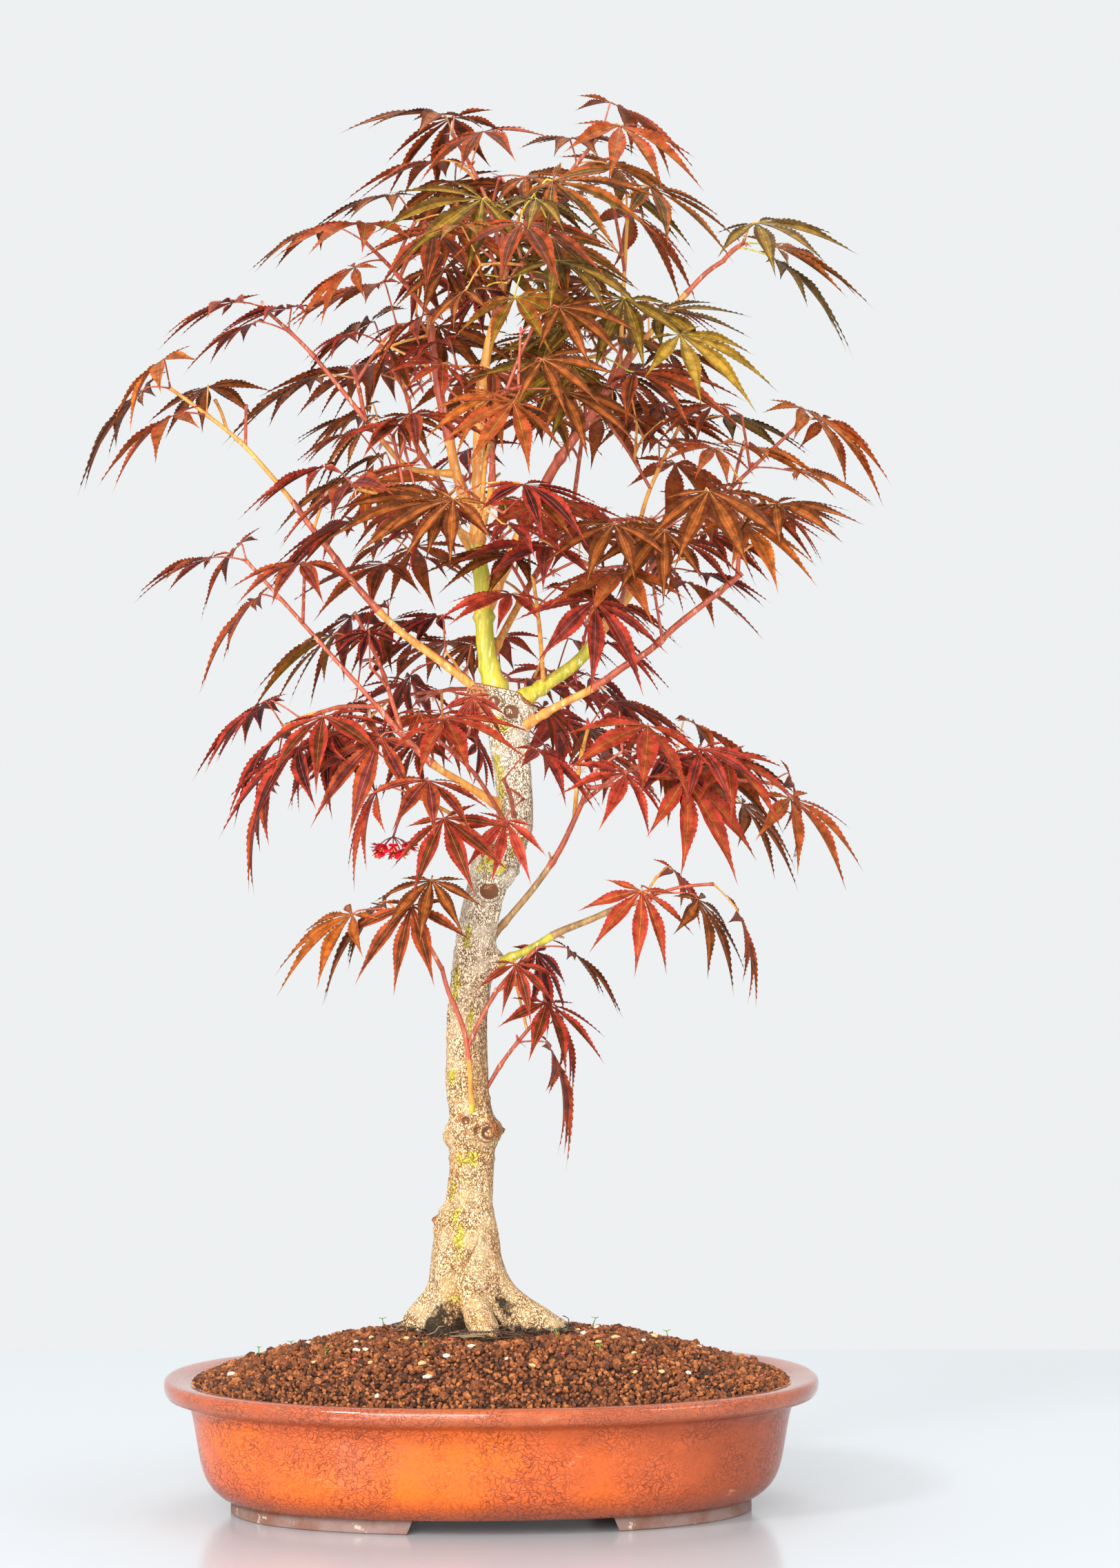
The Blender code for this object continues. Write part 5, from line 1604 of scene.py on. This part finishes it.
def make_foliage(found):
    """Leaves, stalks, twigs and scales, each kind joined, in pieces that stay where their sprays are."""
    blades = {name: leaf_material(name, colour) for name, colour in BLADE_COLOURS.items()}
    blade_names = list(blades)
    twig_heap, scale_heap = Heap(), Heap()
    groups = {}
    for name, (twigs, leaves) in found.items():
        rng = random.Random(f"{name} dress")
        dress = DRESS[name]
        heap, names = groups.setdefault(dress.group, (Heap(), []))
        if name in SPRAYS:
            names.append(name)
        for i, twig in enumerate(twigs):
            length = sum(lengths_of(twig.path))
            nodes = [length] if i else [length * (1.0 - pair * PAIR_SPACING) for pair in range(3)]
            path, shape = twig_shape(twig.path, twig.radii[0], twig.radii[-1], nodes, TWIG_SIDES)
            twig_heap.add(shape, 0 if rng.random() < RED_TWIG_SHARE else 1)
            for node in nodes:
                if rng.random() < SCALE_SHARE:
                    bract_cluster(scale_heap, *point_along(path, min(node / length, 0.999)), rng)
        for leaf in leaves:
            tints = TINTS[dress.tint if rng.random() < MAIN_TINT_SHARE else rng.choice(dress.others)]
            numbers = [blade_names.index(kind) for kind in tints[rng.randrange(len(tints))]]
            for shape, slots in leaf_pieces(leaf, rng):
                heap.add(shape, [numbers[slot] for slot in slots])
            twig_heap.add(stalk_shape(leaf), rng.choice(STALK_BARKS[dress.tint]))
    for group, (heap, names) in groups.items():
        make_piece(f"leaves_{group}", heap, list(blades.values()), names)
    barks = [young_bark_material("twig_" + name, *YOUNG_BARKS[name]) for name in TWIG_BARKS]
    make_piece("twigs_and_stalks", twig_heap, barks)
    scales = [new_material("scale_pink", SCALE_PINK, 0.55), new_material("scale_pale", SCALE_PALE, 0.6)]
    make_piece("bud_scales", scale_heap, scales)


def flower_stem():
    """The hanging stalk's line, from the spray's stem to the fork."""
    top = point_along(stem_of(FLOWER_SPRAY).path, FLOWER_PLACE)[0]
    fork = top + Vector(FLOWER_STALK)
    return [top, top.lerp(fork, 0.5) + Vector((-2.0, 0.0, 0.0)), fork]


def flower_way(flower, turn=0.0):
    """Which way a flower hangs from the fork. Every second one hangs lower."""
    turn += 2.0 * math.pi * flower / FLOWER_COUNT
    return Vector((math.cos(turn), math.sin(turn), -0.55 - 0.5 * (flower % 2))).normalized()


def flower_stalks():
    """The hanging stalk and, for each flower, its own stem and bud, as the solids have them."""
    line = flower_stem()
    shapes = [tube(line, [0.9, 0.8, 0.9], STEM_SIDES)]
    for flower in range(FLOWER_COUNT):
        way = flower_way(flower)
        end = line[-1] + way * FLOWER_STEM_LENGTH
        shapes.append(tube([line[-1] - way * 0.3, end], [0.6, 0.6], STEM_SIDES))
        shapes.append(bead(end, FLOWER_RADIUS))
    return shapes


def bead(middle, radius):
    """An eight-faced bead."""
    points = [middle + Vector(way) * radius for way in ((1, 0, 0), (0, 1, 0), (-1, 0, 0), (0, -1, 0))]
    points += [middle + UP * radius, middle - UP * radius]
    faces = [(i, (i + 1) % 4, 4) for i in range(4)] + [((i + 1) % 4, i, 5) for i in range(4)]
    return points, faces


def make_flowers():
    """The hanging cluster of small red flowers with yellow stamens."""
    rng = random.Random(23)
    line = flower_stem()
    fork = line[-1]
    heap = Heap().add(even_tube(smooth_path(line, 3.0), 0.7, 6))
    for flower in range(FLOWERS_SHOWN):
        in_solid = flower < FLOWER_COUNT
        way = flower_way(flower, 0.0 if in_solid else 0.5)
        end = fork + way * (FLOWER_STEM_LENGTH * (1.0 if in_solid else rng.uniform(0.7, 1.15)))
        heap.add(even_tube(smooth_path([fork, fork.lerp(end, 0.5) + UP, end], 3.0), 0.35, 5))
        for spin in turns(6 if flower % 3 else 8):
            out = (around(way, spin) * rng.uniform(0.5, 0.8) + way * 0.8).normalized()
            heap.add(scale_shape(end - way, out, rng.uniform(4.2, 5.8), 2.3, -0.3), 1)
        for spin in turns(3):
            out = (around(way, spin + 0.4) * 0.35 + way).normalized()
            heap.add(tube([end, end + out * 2.0, end + out * 4.0], [0.22, 0.18, 0.32], 4), 2)
    make_piece("flowers", heap, plain_materials(FLOWER_COLOURS, 0.45))


def make_stage():
    """A pale glossy table whose far edge shows behind the pot, pale air and soft light."""
    turn = Matrix.Rotation(CAMERA_YAW, 3, "Z")
    corners = [(-TABLE_SIDE, -TABLE_SIDE), (TABLE_SIDE, -TABLE_SIDE)]
    corners += [(TABLE_SIDE, TABLE_BACK), (-TABLE_SIDE, TABLE_BACK)]
    mesh = new_mesh("table", [turn @ Vector((*corner, 0.0)) for corner in corners], [(0, 1, 2, 3)])
    mesh.materials.append(new_material("table_top", TABLE_COLOUR, 0.16))
    table = new_object("table", mesh)
    world = bpy.data.worlds.new("studio")
    world.use_nodes = True
    air = world.node_tree.nodes["Background"].inputs
    air["Color"].default_value = (*AIR_COLOUR, 1.0)
    air["Strength"].default_value = AIR_STRENGTH
    bpy.context.scene.world = world
    for name, (place, size, power) in LIGHTS.items():
        light = bpy.data.lights.new(name, "AREA")
        light.size = size
        light.energy = power
        lamp = new_object(name, light)
        lamp.location = place
        lamp.rotation_euler = (Vector(LIT_POINT) - Vector(place)).to_track_quat("-Z", "Y").to_euler()


def make_camera():
    """The photograph's view: level, a little to the left of square on."""
    camera = bpy.data.cameras.new("camera")
    camera.sensor_width = 36.0
    camera.lens = CAMERA_LENS
    eye = new_object("camera", camera)
    aside = Vector((CAMERA_OFFSET, -CAMERA_DISTANCE, CAMERA_HEIGHT)) * METRES
    eye.location = Matrix.Rotation(CAMERA_YAW, 3, "Z") @ aside
    eye.rotation_euler = (math.pi / 2.0, 0.0, CAMERA_YAW)
    bpy.context.scene.camera = eye


def main():
    bpy.context.scene.view_settings.view_transform = "Standard"
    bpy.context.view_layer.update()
    make_camera()
    make_stage()
    make_pot()
    make_soil()
    make_trunk()
    make_boughs()
    make_foliage(grow_all())
    make_flowers()


main()
